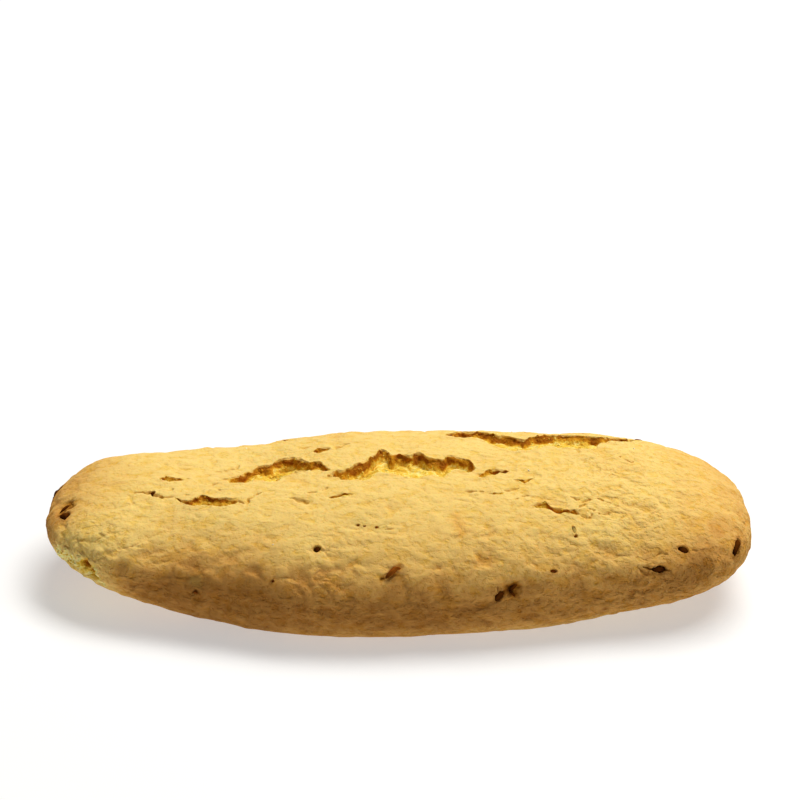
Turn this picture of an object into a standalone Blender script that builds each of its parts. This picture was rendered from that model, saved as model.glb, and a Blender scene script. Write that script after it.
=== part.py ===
"""Anise cookie: one long, soft, hand-shaped cookie in a single solid.

The body is a flattened, slightly uneven loaf with a flat base whose ends curl up, a domed crown that split open
while it baked, and whole anise seeds baked into the crust. It stands on its base with the origin at the middle of
its bounding box's underside, +X along its length, -Y towards its front and +Z up.
"""

import itertools
import math
import random
from dataclasses import dataclass

import bmesh
import bpy
import numpy as np
from mathutils import Matrix, Vector

MM = 0.001

# Driving dimensions
HALF_LENGTH = 66.0 * MM
HALF_WIDTH = 28.3 * MM
CROWN_HEIGHT = 22.0 * MM
GIRTH_HEIGHT = 8.5 * MM
END_LIFT = 4.0 * MM

# How the form departs from an ellipsoid
PLAN_POWER_LEFT = 2.22
PLAN_POWER_RIGHT = 2.53
DOME_POWER = 2.3
BASE_POWER = 2.2
BASE_SPREAD = 0.8
CROWN_SLOPE = 0.12
LIFT_STARTS = 0.45
LIFT_FADE = 0.75
CORE_REACH = 0.8

# Soft unevenness of the whole skin, and the rubble on the floor of the splits
LUMP_CELL = 9.0 * MM
LUMP_RISE = 0.22 * MM
RUBBLE_CELL = 1.9 * MM
RUBBLE_SHARE = 0.3
RAG_CELL = 2.3 * MM
RAG_REACH = 0.7 * MM
SPLIT_WALL = 0.9 * MM

# Mesh detail: cells along the length, across the width and up the side, then the share of faces that is kept
CELLS = (170, 80, 50)
KEPT_TRIANGLES = 8600

# Seeds
SEED_SIDES = 6
SEED_RINGS = 4
SEED_FLATNESS = 0.8
SEED_SUNK = 0.3
BACK_SEEDS = 9
RANDOM_SEED = 27

CRUST_COLOUR = (0.72, 0.45, 0.13, 1.0)
CRUST_ROUGHNESS = 0.85


@dataclass(frozen=True)
class Swell:
    """A soft bulge or, with a negative rise, a soft hollow, in millimetres."""

    name: str
    centre: tuple
    radius: float
    rise: float


@dataclass(frozen=True)
class Split:
    """An open split in the crown. A station is its x, its middle's y and its width there, in millimetres."""

    name: str
    depth: float
    stations: tuple


@dataclass(frozen=True)
class Seed:
    """An anise seed half sunk in the crust: x, y and heading in plan, length and width, in millimetres."""

    x: float
    y: float
    heading: float
    length: float
    width: float


SWELLS = (
    Swell("front belly", (-12, -28, 8), 24, 1.8),
    Swell("front pinch", (38, -26, 7), 14, -1.6),
    Swell("right front", (58, -16, 9), 12, 1.6),
    Swell("left front", (-58, -16, 9), 12, 2.2),
    Swell("left tip", (-66, 2, 10), 8, -0.8),
    Swell("right tip", (66, 2, 10), 8, -1.5),
    Swell("left shoulder", (-56, 11, 15), 9, 1.6),
    Swell("left dip", (-28, 10, 20), 13, -2.5),
    Swell("right crown", (40, 12, 19), 12, 1.0),
    Swell("left ledge", (-33, -14, 18), 6, 0.6),
    Swell("torn corner", (-59, -16, 10), 5, -0.8),
)

SPLITS = (
    Split("crown", 4.4, (
        (-13.2, -2.4, 0.6), (-11.4, -2.8, 2.6), (-9.0, -2.6, 4.3), (-6.5, -1.7, 7.1), (-4.4, 1.7, 9.9),
        (-2.0, 1.4, 8.3), (1.0, 0.3, 9.8), (4.0, 0.2, 9.4), (5.1, -0.7, 6.8), (8.0, -1.3, 6.7),
        (9.4, 0.6, 6.9), (12.0, -0.2, 3.9), (14.2, -1.3, 0.8),
    )),
    Split("left crown", 3.4, (
        (-34.6, 0.2, 0.5), (-32.0, 0.7, 3.0), (-27.5, 2.1, 6.2), (-24.0, 4.0, 9.0), (-20.2, 5.9, 5.6),
        (-17.5, 3.4, 2.6), (-14.7, 2.1, 2.4), (-12.9, 0.3, 0.6),
    )),
    Split("ridge", 2.8, (
        (7.4, 16.4, 0.6), (12.0, 16.0, 1.2), (14.8, 15.4, 2.9), (17.6, 14.7, 4.2), (22.4, 13.0, 5.6),
        (24.8, 12.3, 6.6), (28.3, 12.7, 5.7), (33.0, 12.4, 5.8), (36.9, 12.0, 5.1), (38.2, 12.9, 2.9),
        (40.9, 14.1, 2.5), (45.6, 16.6, 0.6),
    )),
    Split("left shelf", 2.4, (
        (-49.9, -4.5, 0.4), (-45.5, -4.7, 0.6), (-43.3, -6.4, 0.6), (-40.4, -7.6, 2.1), (-36.6, -8.5, 3.0),
        (-32.9, -9.2, 2.7), (-29.1, -10.0, 2.0), (-26.9, -9.4, 0.4),
    )),
    Split("crown tail", 1.9, (
        (13.8, -2.6, 0.6), (15.3, -3.2, 2.9), (16.6, -2.6, 2.0), (18.7, -2.4, 1.4), (20.6, -1.9, 0.4),
    )),
    Split("right slit", 1.7, (
        (24.2, -13.0, 0.4), (26.2, -12.8, 1.4), (27.7, -13.3, 1.0), (29.2, -13.9, 1.6), (31.2, -13.8, 1.4),
        (33.4, -14.3, 0.7), (35.0, -14.5, 0.5), (38.9, -13.1, 0.4),
    )),
    Split("far nick", 1.2, ((-18.6, 9.6, 0.4), (-16.2, 10.4, 1.9), (-13.6, 10.8, 1.2), (-10.2, 12.5, 0.4))),
    Split("tail nick", 1.0, ((20.8, -5.3, 0.4), (22.9, -5.8, 1.4), (25.0, -4.3, 0.4))),
    Split("left nick", 0.9, ((-45.4, 0.9, 0.4), (-42.8, 0.8, 1.3), (-40.2, 0.2, 0.4))),
    Split("front nick", 0.9, ((-13.2, -10.8, 0.4), (-10.7, -10.1, 1.3), (-8.0, -10.5, 0.4))),
    Split("right nick", 0.8, ((15.9, -9.7, 0.4), (18.7, -10.0, 1.1), (21.8, -8.4, 0.4))),
)

FRONT_SEEDS = (
    Seed(-0.8, -27.1, 34, 4.4, 1.7),
    Seed(61.8, -14.3, -95, 3.4, 1.5),
    Seed(-61.3, -7.2, -92, 4.2, 1.6),
    Seed(-64.6, 3.4, 60, 2.8, 1.4),
    Seed(47.0, -21.8, 5, 2.4, 1.4),
    Seed(51.5, -19.0, -20, 2.6, 1.2),
    Seed(18.2, -27.8, 12, 2.2, 1.5),
    Seed(20.8, -27.2, 62, 3.0, 1.3),
    Seed(32.0, -17.8, -80, 3.0, 1.1),
    Seed(-13.5, -23.9, -6, 2.8, 1.3),
    Seed(28.0, -24.5, 30, 2.0, 1.3),
    Seed(-7.0, -17.5, -25, 2.6, 1.2),
    Seed(-2.4, -19.5, -30, 2.4, 1.1),
    Seed(-36.5, -25.0, 70, 2.2, 1.2),
)


def smoothstep(low, high, value):
    """Rise softly from 0 at low to 1 at high."""
    t = np.clip((value - low) / (high - low), 0.0, 1.0)
    return t * t * (3.0 - 2.0 * t)


def soft_noise(points, cell, seed):
    """Smooth noise between -1 and 1 whose lumps are about one cell across."""
    table = np.random.default_rng(seed).uniform(-1.0, 1.0, 4096)
    scaled = points / cell
    base = np.floor(scaled).astype(np.int64)
    part = scaled - base
    part = part * part * (3.0 - 2.0 * part)
    total = np.zeros(len(points))
    for corner in itertools.product((0, 1), repeat=3):
        at = base + np.array(corner)
        key = (at[:, 0] * 73856093) ^ (at[:, 1] * 19349663) ^ (at[:, 2] * 83492791)
        weight = np.prod(np.where(np.array(corner) == 1, part, 1.0 - part), axis=1)
        total += weight * table[key % 4096]
    return total


def clear_scene():
    """Remove every object that the scene starts with."""
    for found in list(bpy.data.objects):
        bpy.data.objects.remove(found, do_unlink=True)


def box_grid(cells):
    """Return a cube's surface as a mesh, cut into this many cells along X, Y and Z."""
    bm = bmesh.new()
    bmesh.ops.create_cube(bm, size=2.0)
    for axis, count in enumerate(cells):
        along = [
            edge
            for edge in bm.edges
            if abs(edge.verts[0].co[axis] - edge.verts[1].co[axis]) > 1e-6
        ]
        bmesh.ops.subdivide_edges(bm, edges=along, cuts=count - 1, use_grid_fill=True)
    bmesh.ops.recalc_face_normals(bm, faces=bm.faces)
    mesh = bpy.data.meshes.new("cookie")
    bm.to_mesh(mesh)
    bm.free()
    return mesh


def read_points(mesh):
    """Return a mesh's vertices as an array."""
    points = np.empty(len(mesh.vertices) * 3)
    mesh.vertices.foreach_get("co", points)
    return points.reshape(-1, 3)


def write_points(mesh, points):
    """Move a mesh's vertices to these points."""
    mesh.vertices.foreach_set("co", points.ravel())
    mesh.update()


def directions(points):
    """Turn a cube's points into unit directions that are spread evenly over a sphere."""
    even = np.tan(points * math.pi / 4)
    return even / np.linalg.norm(even, axis=1)[:, None]


def loaf(unit):
    """Lay unit directions out as the uneven loaf, before anything marks it."""
    across = np.hypot(unit[:, 0], unit[:, 1])
    cosine, sine = unit[:, 0] / across, unit[:, 1] / across
    power = np.where(cosine < 0, PLAN_POWER_LEFT, PLAN_POWER_RIGHT)
    upper = unit[:, 2] > 0
    bend = np.where(upper, 2 / DOME_POWER, 2 / BASE_POWER)
    reach = across**bend
    x = HALF_LENGTH * np.sign(cosine) * np.abs(cosine) ** (2 / power) * reach
    y = HALF_WIDTH * np.sign(sine) * np.abs(sine) ** (2 / power) * reach
    along = x / HALF_LENGTH
    steep = np.abs(unit[:, 2])
    rise = (CROWN_HEIGHT * (1 + CROWN_SLOPE * along) - GIRTH_HEIGHT) * steep**bend
    fall = GIRTH_HEIGHT * np.sin(math.pi / 2 * np.minimum(1.0, steep / BASE_SPREAD))
    z = GIRTH_HEIGHT + np.where(upper, rise, -fall)
    z += END_LIFT * smoothstep(LIFT_STARTS, 1.0, np.abs(along)) * (1 - LIFT_FADE * z / CROWN_HEIGHT)
    return np.stack([x, y, z], axis=1)


def swollen(points):
    """Push the skin out or in at each named swell, and lump it softly all over."""
    core = points * np.array([CORE_REACH, 0.0, 0.0]) + np.array([0.0, 0.0, GIRTH_HEIGHT])
    outward = points - core
    outward /= np.linalg.norm(outward, axis=1)[:, None]
    push = LUMP_RISE * soft_noise(points, LUMP_CELL, 3)
    for swell in SWELLS:
        offset = (points - np.array(swell.centre) * MM) / (swell.radius * MM)
        push += swell.rise * MM * np.exp(-(offset**2).sum(axis=1))
    return points + outward * push[:, None]


def split_depth(points, split, seed):
    """Return how far this split sinks each point."""
    x, y, width = (np.array(column) * MM for column in zip(*split.stations))
    middle = np.interp(points[:, 0], x, y)
    wide = np.interp(points[:, 0], x, width, left=0.0, right=0.0)
    strip = points * np.array([1.0, 0.0, 0.0])
    rag = RAG_REACH * np.minimum(1.0, wide / width.max())
    far = middle + wide / 2 + rag * soft_noise(strip, RAG_CELL, seed)
    near = middle - wide / 2 + rag * soft_noise(strip, RAG_CELL, seed + 1)
    inside = np.minimum(far - points[:, 1], points[:, 1] - near)
    wall = np.minimum(SPLIT_WALL, width.max() / 2)
    opened = smoothstep(0.0, wall, inside) * smoothstep(0.0, 1.0, wide / width.max() * 1.6)
    rubble = 1.0 + RUBBLE_SHARE * soft_noise(points, RUBBLE_CELL, seed + 2)
    return split.depth * MM * opened * rubble


def marked(points, unit):
    """Sink every split into the crown and keep the base flat."""
    sunk = np.zeros(len(points))
    for number, split in enumerate(SPLITS):
        sunk = np.maximum(sunk, split_depth(points, split, 10 * (number + 1)))
    cut = points.copy()
    cut[:, 2] -= np.where(unit[:, 2] > 0, sunk, 0.0)
    cut[:, 2] = np.maximum(cut[:, 2], 0.0)
    return cut


def evaluated(obj):
    """Return a new mesh that holds the object with its modifiers applied."""
    graph = bpy.context.evaluated_depsgraph_get()
    return bpy.data.meshes.new_from_object(obj.evaluated_get(graph))


def apply_modifiers(obj):
    """Swap the object's mesh for its modified one."""
    finished = evaluated(obj)
    obj.modifiers.clear()
    before = obj.data
    obj.data = finished
    bpy.data.meshes.remove(before)


def skin_frame(points, normals, seed):
    """Return where a seed lies on the upper skin: its place, and the axes along, across and out of it."""
    upper = normals[:, 2] > -0.2
    plan = np.hypot(points[:, 0] - seed.x * MM, points[:, 1] - seed.y * MM)
    nearest = int(np.argmin(np.where(upper, plan, 1.0)))
    outward = Vector(normals[nearest]).normalized()
    heading = math.radians(seed.heading)
    along = Vector((math.cos(heading), math.sin(heading), 0.0))
    along = (along - outward * along.dot(outward)).normalized()
    return Vector(points[nearest]), along, outward.cross(along), outward


def add_seed(name, seed, points, normals, collection):
    """Model one seed as a small sphere stretched between its two tips and half sunk in the skin."""
    place, along, across, outward = skin_frame(points, normals, seed)
    bm = bmesh.new()
    bmesh.ops.create_uvsphere(bm, u_segments=SEED_SIDES, v_segments=SEED_RINGS, radius=0.5)
    bmesh.ops.rotate(bm, verts=bm.verts, matrix=Matrix.Rotation(math.pi / 2, 3, "Y"))
    width = seed.width * MM
    bmesh.ops.scale(bm, verts=bm.verts, vec=(seed.length * MM, width, width * SEED_FLATNESS))
    turn = Matrix((along, across, outward)).transposed()
    bmesh.ops.transform(bm, verts=bm.verts, matrix=turn.to_4x4())
    bmesh.ops.translate(bm, verts=bm.verts, vec=place - outward * width * SEED_FLATNESS * SEED_SUNK / 2)
    mesh = bpy.data.meshes.new(name)
    bm.to_mesh(mesh)
    bm.free()
    collection.objects.link(bpy.data.objects.new(name, mesh))


def back_seeds():
    """Scatter seeds over the back, as sparse as those that lie in front."""
    draw = random.Random(RANDOM_SEED)
    seeds = []
    for number in range(BACK_SEEDS):
        x = -54.0 + 108.0 * (number + draw.uniform(0.2, 0.8)) / BACK_SEEDS
        reach = HALF_WIDTH / MM * math.sqrt(1.0 - (x * MM / HALF_LENGTH) ** 2)
        y = reach * draw.uniform(0.72, 0.93)
        seeds.append(Seed(x, y, draw.uniform(-90, 90), draw.uniform(2.4, 4.2), draw.uniform(1.2, 1.6)))
    return tuple(seeds)


def join_seeds(cookie, points, normals):
    """Fuse every seed to the cookie with one union."""
    collection = bpy.data.collections.new("seeds")
    bpy.context.scene.collection.children.link(collection)
    for number, seed in enumerate(FRONT_SEEDS + back_seeds()):
        add_seed(f"seed_{number:02d}", seed, points, normals, collection)
    union = cookie.modifiers.new("seeds", "BOOLEAN")
    union.operation = "UNION"
    union.operand_type = "COLLECTION"
    union.collection = collection
    union.solver = "MANIFOLD"
    apply_modifiers(cookie)
    for seed in list(collection.objects):
        bpy.data.objects.remove(seed, do_unlink=True)
    bpy.data.collections.remove(collection)


def settle(mesh):
    """Put the origin at the middle of the bounding box's underside."""
    points = read_points(mesh)
    low, high = points.min(axis=0), points.max(axis=0)
    middle = (low + high) / 2
    write_points(mesh, points - np.array([middle[0], middle[1], low[2]]))


def crust():
    """Return the baked crust's material."""
    material = bpy.data.materials.new("crust")
    material.use_nodes = True
    shader = material.node_tree.nodes["Principled BSDF"]
    shader.inputs["Base Color"].default_value = CRUST_COLOUR
    shader.inputs["Roughness"].default_value = CRUST_ROUGHNESS
    shader.inputs["Metallic"].default_value = 0.0
    return material


def build_cookie():
    """Model the cookie and return its object."""
    mesh = box_grid(CELLS)
    unit = directions(read_points(mesh))
    points = marked(swollen(loaf(unit)), unit)
    write_points(mesh, points)
    normals = np.array([vertex.normal for vertex in mesh.vertices])
    cookie = bpy.data.objects.new("cookie", mesh)
    bpy.context.scene.collection.objects.link(cookie)
    thin = cookie.modifiers.new("fewer faces", "DECIMATE")
    thin.ratio = KEPT_TRIANGLES / sum(len(face.vertices) - 2 for face in mesh.polygons)
    apply_modifiers(cookie)
    join_seeds(cookie, points, normals)
    settle(cookie.data)
    cookie.data.materials.clear()
    cookie.data.materials.append(crust())
    cookie.data.shade_smooth()
    return cookie


def main():
    """Clear the scene and build the cookie in it."""
    clear_scene()
    build_cookie()


main()
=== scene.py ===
"""Anise cookie, dressed: split and crazed crust, crumb inside its splits, seeds, sugar and loose crumbs.

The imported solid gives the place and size. The crust is modelled again from the same named sizes as a much
finer mesh, and replaces the plain solid. Sizes are in metres, written as millimetres times MM.
"""

import itertools
import logging
import math
import random
from dataclasses import dataclass, field
from enum import Enum

import bpy
import numpy as np
from mathutils import Matrix, Vector


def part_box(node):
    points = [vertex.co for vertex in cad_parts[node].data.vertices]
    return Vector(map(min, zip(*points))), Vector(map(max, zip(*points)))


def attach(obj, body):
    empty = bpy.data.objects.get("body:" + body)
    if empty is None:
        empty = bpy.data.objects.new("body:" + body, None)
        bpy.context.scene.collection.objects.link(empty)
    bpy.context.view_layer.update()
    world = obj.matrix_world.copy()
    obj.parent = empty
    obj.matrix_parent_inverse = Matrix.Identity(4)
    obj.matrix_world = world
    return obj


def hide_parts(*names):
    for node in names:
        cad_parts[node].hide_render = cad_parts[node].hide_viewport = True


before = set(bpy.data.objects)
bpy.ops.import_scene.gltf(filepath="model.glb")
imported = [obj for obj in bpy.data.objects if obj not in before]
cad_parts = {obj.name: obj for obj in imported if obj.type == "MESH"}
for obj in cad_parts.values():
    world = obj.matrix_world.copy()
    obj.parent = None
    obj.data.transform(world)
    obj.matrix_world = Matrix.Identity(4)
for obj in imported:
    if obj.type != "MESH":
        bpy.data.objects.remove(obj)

log = logging.getLogger("anise_cookie")

MM = 0.001
NODE = "cookie"
BODY = "root"
PICTURE_WIDTH = 800

# Half the loaf's length and width, in millimetres
HALF_LENGTH = 66.0
HALF_WIDTH = 28.3

# How the noises, patches and granules are drawn
TABLE_SIZE = 4096
HASH_FACTORS = (73856093, 19349663, 83492791)
DRIFT_STEP = 1000
PATCH_LUMP = 0.7
GRANULE_EDGE = 0.5
UPWARD = np.array([0.0, 0.0, 1.0])

Triple = tuple[float, float, float]
Station = tuple[float, float]


class Mark(Enum):
    """What the crust's mesh keeps at each point for its material to read."""

    CRUMB = "crumb"
    # The crumb's browning, with painted shade under split lips and in pores and holes.
    TOAST_AND_SHADE = "toast"
    # The crust's browning, with painted light and shade: paler at the foot, on the right and in some patches,
    # darker down the sides and in hollows.
    BAKE = "bake"
    # Painted shade in cracks, creases and seed pits.
    CREVICE_SHADE = "crevice"
    STAIN = "stain"
    OLIVE = "olive"
    ROUGH = "rough"


class Tone(Enum):
    """How a seed has toasted, from the darkest to a grey one that dough still covers."""

    DARK = 0.1
    BROWN = 0.5
    GREY = 0.9


@dataclass(frozen=True)
class Swell:
    """A soft bulge or, with a negative rise, a soft hollow, in millimetres."""

    centre: Triple
    radius: float
    rise: float


@dataclass(frozen=True)
class Split:
    """An open split in the crown: its depth and the routes of its two lips in plan, in millimetres.

    The lip is the share of the depth that the near side drops at once, and toast is how deep the browning
    and the painted shade under the far lip go. The higher the lean, the closer to the far lip lies the
    deepest part. The floor is the least browning of its crumb.
    """

    depth: float
    near: tuple[Station, ...]
    far: tuple[Station, ...]
    lip: float = 0.22
    toast: float = 1.5
    lean: float = 1.1
    floor: float = 0.42


@dataclass(frozen=True)
class Slit:
    """A hairline crack: its width, its depth and its route on the skin, in millimetres.

    A route's stations are in plan, or have heights too.
    """

    width: float
    depth: float
    route: tuple[tuple[float, ...], ...]


@dataclass(frozen=True)
class Seed:
    """An anise seed: where its two ends lie on the skin, its width and how far it is sunk, in millimetres."""

    thin_end: tuple[float, ...]
    thick_end: tuple[float, ...]
    width: float
    sunk: float = 0.2
    tone: Tone = Tone.BROWN


@dataclass(frozen=True)
class Patch:
    """A round place on the skin: its centre and radius, in millimetres."""

    centre: Triple
    radius: float


@dataclass
class Bed:
    """Where a seed lies: the skin's point there, its length in metres, and its own three directions."""

    seed: Seed
    place: np.ndarray
    length: float
    along: np.ndarray
    across: np.ndarray
    outward: np.ndarray


SWELLS = (
    Swell((-12, -28, 8), 24, 1.8),
    Swell((38, -26, 7), 14, -1.6),
    Swell((58, -16, 9), 12, 1.6),
    Swell((-58, -16, 9), 12, 2.2),
    Swell((-66, 2, 10), 8, -0.8),
    Swell((66, 2, 10), 8, -0.9),
    Swell((65, -9, 9), 9, -0.3),
    Swell((-65, 3, 12), 7, 0.6),
    Swell((-56, 11, 15), 9, 1.6),
    Swell((-28, 10, 20), 13, -2.5),
    Swell((40, 12, 19), 12, 1.2),
    Swell((47, 15, 18), 6, 0.4),
    Swell((-33, -14, 18), 6, 0.6),
    Swell((-59, -16, 10), 5, -0.2),
)

SPLITS = (
    Split(2.8, (
        (-13.7, -2.6), (-12.5, -3.0), (-11.4, -3.9), (-10.7, -4.9), (-9.7, -4.9), (-8.8, -5.1),
        (-7.8, -5.4), (-6.5, -5.6), (-5.8, -5.3), (-5.1, -4.3), (-4.4, -3.1), (-3.5, -2.2), (-2.4, -2.8),
        (-1.1, -3.1), (-0.2, -4.2), (0.9, -4.7), (2.2, -4.6), (3.3, -5.3), (4.1, -4.5), (5.2, -4.2),
        (6.5, -4.2), (7.8, -5.1), (8.6, -4.2), (9.3, -3.0), (9.9, -1.8), (11.2, -2.2), (12.3, -2.6),
        (13.1, -2.7), (13.6, -2.0), (14.2, -1.0),
    ), (
        (-13.7, -2.1), (-12.6, -1.6), (-11.6, -0.1), (-10.8, -1.2), (-10.0, -0.4), (-9.2, -0.1),
        (-8.6, 1.0), (-7.4, 1.2), (-6.5, 2.0), (-6.1, 3.4), (-5.3, 4.4), (-4.6, 4.9), (-4.4, 7.0),
        (-4.1, 7.9), (-3.3, 7.4), (-2.3, 6.8), (-2.0, 4.7), (-1.1, 5.4), (-0.2, 5.8), (0.9, 5.2),
        (1.7, 3.8), (2.2, 4.9), (3.1, 5.8), (3.8, 5.8), (4.6, 4.1), (5.1, 3.1), (6.2, 2.6), (7.5, 2.3),
        (8.2, 2.1), (8.5, 3.7), (9.2, 4.5), (10.2, 4.0), (11.1, 3.4), (12.2, 2.5), (13.1, 2.2), (13.5, 1.2),
        (14.2, -0.5),
    ), floor=0.27),
    Split(2.4, (
        (-32.3, -0.5), (-31.2, -1.6), (-30.0, -2.0), (-28.9, -2.3), (-27.9, -1.2), (-26.8, -0.5),
        (-25.6, -1.0), (-24.0, -3.0), (-22.9, -2.7), (-22.2, -1.6), (-21.6, -0.1), (-20.5, 0.5),
        (-20.0, 2.0), (-18.6, 1.2), (-17.1, 0.9), (-14.8, 0.4), (-13.5, -0.4), (-12.8, -0.6),
    ), (
        (-32.3, 0.1), (-31.7, 2.0), (-30.8, 2.3), (-29.9, 2.9), (-29.3, 4.7), (-28.3, 5.0), (-27.4, 6.5),
        (-26.2, 7.1), (-25.1, 7.1), (-24.3, 6.7), (-24.0, 8.3), (-23.3, 8.9), (-22.6, 9.3), (-21.5, 9.2),
        (-20.5, 9.5), (-19.8, 8.0), (-18.6, 7.0), (-17.4, 5.1), (-16.3, 4.5), (-15.1, 4.5), (-14.6, 3.8),
        (-14.1, 1.5), (-12.8, 0.4),
    ), floor=0.3),
    Split(2.3, (
        (8.2, 14.6), (9.6, 13.8), (11.1, 12.8), (11.9, 12.5), (13.0, 13.1), (14.6, 12.9), (15.7, 11.9),
        (16.4, 10.2), (17.3, 9.0), (18.3, 8.0), (19.6, 6.9), (21.0, 6.6), (22.0, 6.2), (23.2, 6.1),
        (24.3, 6.5), (26.3, 7.1), (27.7, 8.0), (29.3, 7.4), (30.6, 7.5), (31.5, 7.9), (33.0, 8.0),
        (34.9, 8.2), (36.4, 7.9), (37.0, 8.2), (37.5, 10.5), (38.6, 11.3), (39.6, 12.3), (40.6, 12.9),
        (42.0, 13.0), (43.1, 13.2), (45.6, 14.1),
    ), (
        (8.2, 15.2), (9.6, 16.6), (11.1, 17.6), (13.1, 17.8), (14.6, 17.4), (15.7, 16.8), (16.9, 15.9),
        (18.2, 14.7), (19.4, 14.4), (20.7, 13.7), (22.2, 13.0), (23.1, 12.3), (23.5, 11.7), (24.5, 13.1),
        (25.4, 14.5), (26.4, 15.0), (28.3, 15.2), (30.2, 14.9), (32.1, 14.5), (34.0, 14.7), (35.9, 14.1),
        (37.8, 13.9), (39.8, 14.7), (41.7, 15.0), (43.6, 14.9), (45.6, 14.5),
    ), toast=2.0, lean=2.0, floor=0.26),
    Split(1.7, (
        (-41.8, -6.4), (-40.4, -7.9), (-39.6, -8.9), (-38.4, -9.9), (-37.4, -10.4), (-36.6, -10.4),
        (-35.6, -10.4), (-34.6, -10.9), (-33.3, -11.5), (-32.3, -11.6), (-30.9, -11.3), (-29.8, -10.9),
        (-29.2, -10.0),
    ), (
        (-41.8, -6.1), (-40.8, -6.7), (-39.8, -7.6), (-39.2, -7.8), (-38.2, -7.9), (-37.7, -7.0),
        (-36.7, -6.7), (-36.0, -6.2), (-35.4, -7.1), (-34.4, -7.7), (-32.9, -8.1), (-31.4, -8.5),
        (-29.9, -8.8), (-29.2, -9.3),
    ), lip=0.6, toast=0.7, lean=0.8),
    Split(1.8, (
        (14.3, -4.1), (14.9, -4.6), (15.5, -4.9), (16.0, -3.9), (16.8, -3.9), (17.8, -3.6), (18.6, -2.8),
        (19.3, -3.0), (19.9, -2.6), (20.8, -1.5),
    ), (
        (14.3, -3.5), (15.0, -2.8), (15.7, -2.2), (16.1, -1.4), (17.3, -1.2), (18.2, -1.5), (19.3, -1.7),
        (20.3, -1.6), (20.8, -1.0),
    )),
    Split(1.7, (
        (24.0, -13.1), (25.0, -13.4), (26.0, -13.4), (26.7, -13.5), (27.4, -13.6), (28.0, -13.7),
        (28.4, -14.2), (29.2, -14.7), (29.9, -14.5), (30.8, -14.4), (31.7, -14.5), (32.7, -14.6),
        (33.3, -14.4),
    ), (
        (24.0, -12.9), (24.9, -12.5), (25.6, -11.9), (26.4, -11.8), (27.1, -11.5), (27.4, -12.4),
        (28.0, -13.0), (28.5, -13.0), (29.0, -13.0), (29.8, -13.1), (30.9, -13.2), (31.8, -13.2),
        (32.4, -13.5), (33.3, -14.2),
    ), toast=2.4),
    Split(1.2, (
        (-17.7, 9.6), (-16.7, 9.7), (-15.7, 8.4), (-14.8, 8.8), (-14.1, 9.7), (-13.2, 10.3),
    ), (
        (-17.7, 9.9), (-16.8, 10.5), (-15.7, 11.4), (-14.5, 11.2), (-13.2, 10.8),
    )),
    Split(1.1, (
        (20.7, -5.5), (22.0, -6.1), (22.9, -6.6), (23.7, -5.9), (24.3, -5.0), (25.1, -4.4),
    ), (
        (20.7, -5.2), (22.3, -5.2), (23.2, -5.1), (24.0, -4.6), (24.5, -4.1), (25.1, -4.1),
    )),
    Split(1.0, (
        (-45.2, 0.4), (-44.2, 0.3), (-43.3, -0.5), (-42.7, -0.3), (-41.8, -0.1), (-41.1, 0.0), (-40.3, 0.2),
    ), (
        (-45.2, 0.6), (-44.6, 1.2), (-43.9, 1.8), (-42.9, 1.5), (-42.0, 1.1), (-41.2, 1.2), (-40.3, 0.6),
    )),
    Split(0.8, (
        (-13.1, -10.9), (-11.7, -11.1), (-10.7, -11.1), (-9.6, -10.9), (-8.7, -10.7), (-7.9, -10.5),
    ), (
        (-13.1, -10.6), (-11.8, -10.3), (-10.7, -9.8), (-9.6, -9.9), (-8.7, -10.1), (-7.9, -10.3),
    )),
    Split(0.7, (
        (16.0, -10.0), (17.6, -10.3), (18.8, -10.5), (19.6, -9.7),
    ), (
        (16.0, -9.8), (17.7, -9.6), (18.9, -9.7), (19.6, -9.3),
    )),
)

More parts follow.
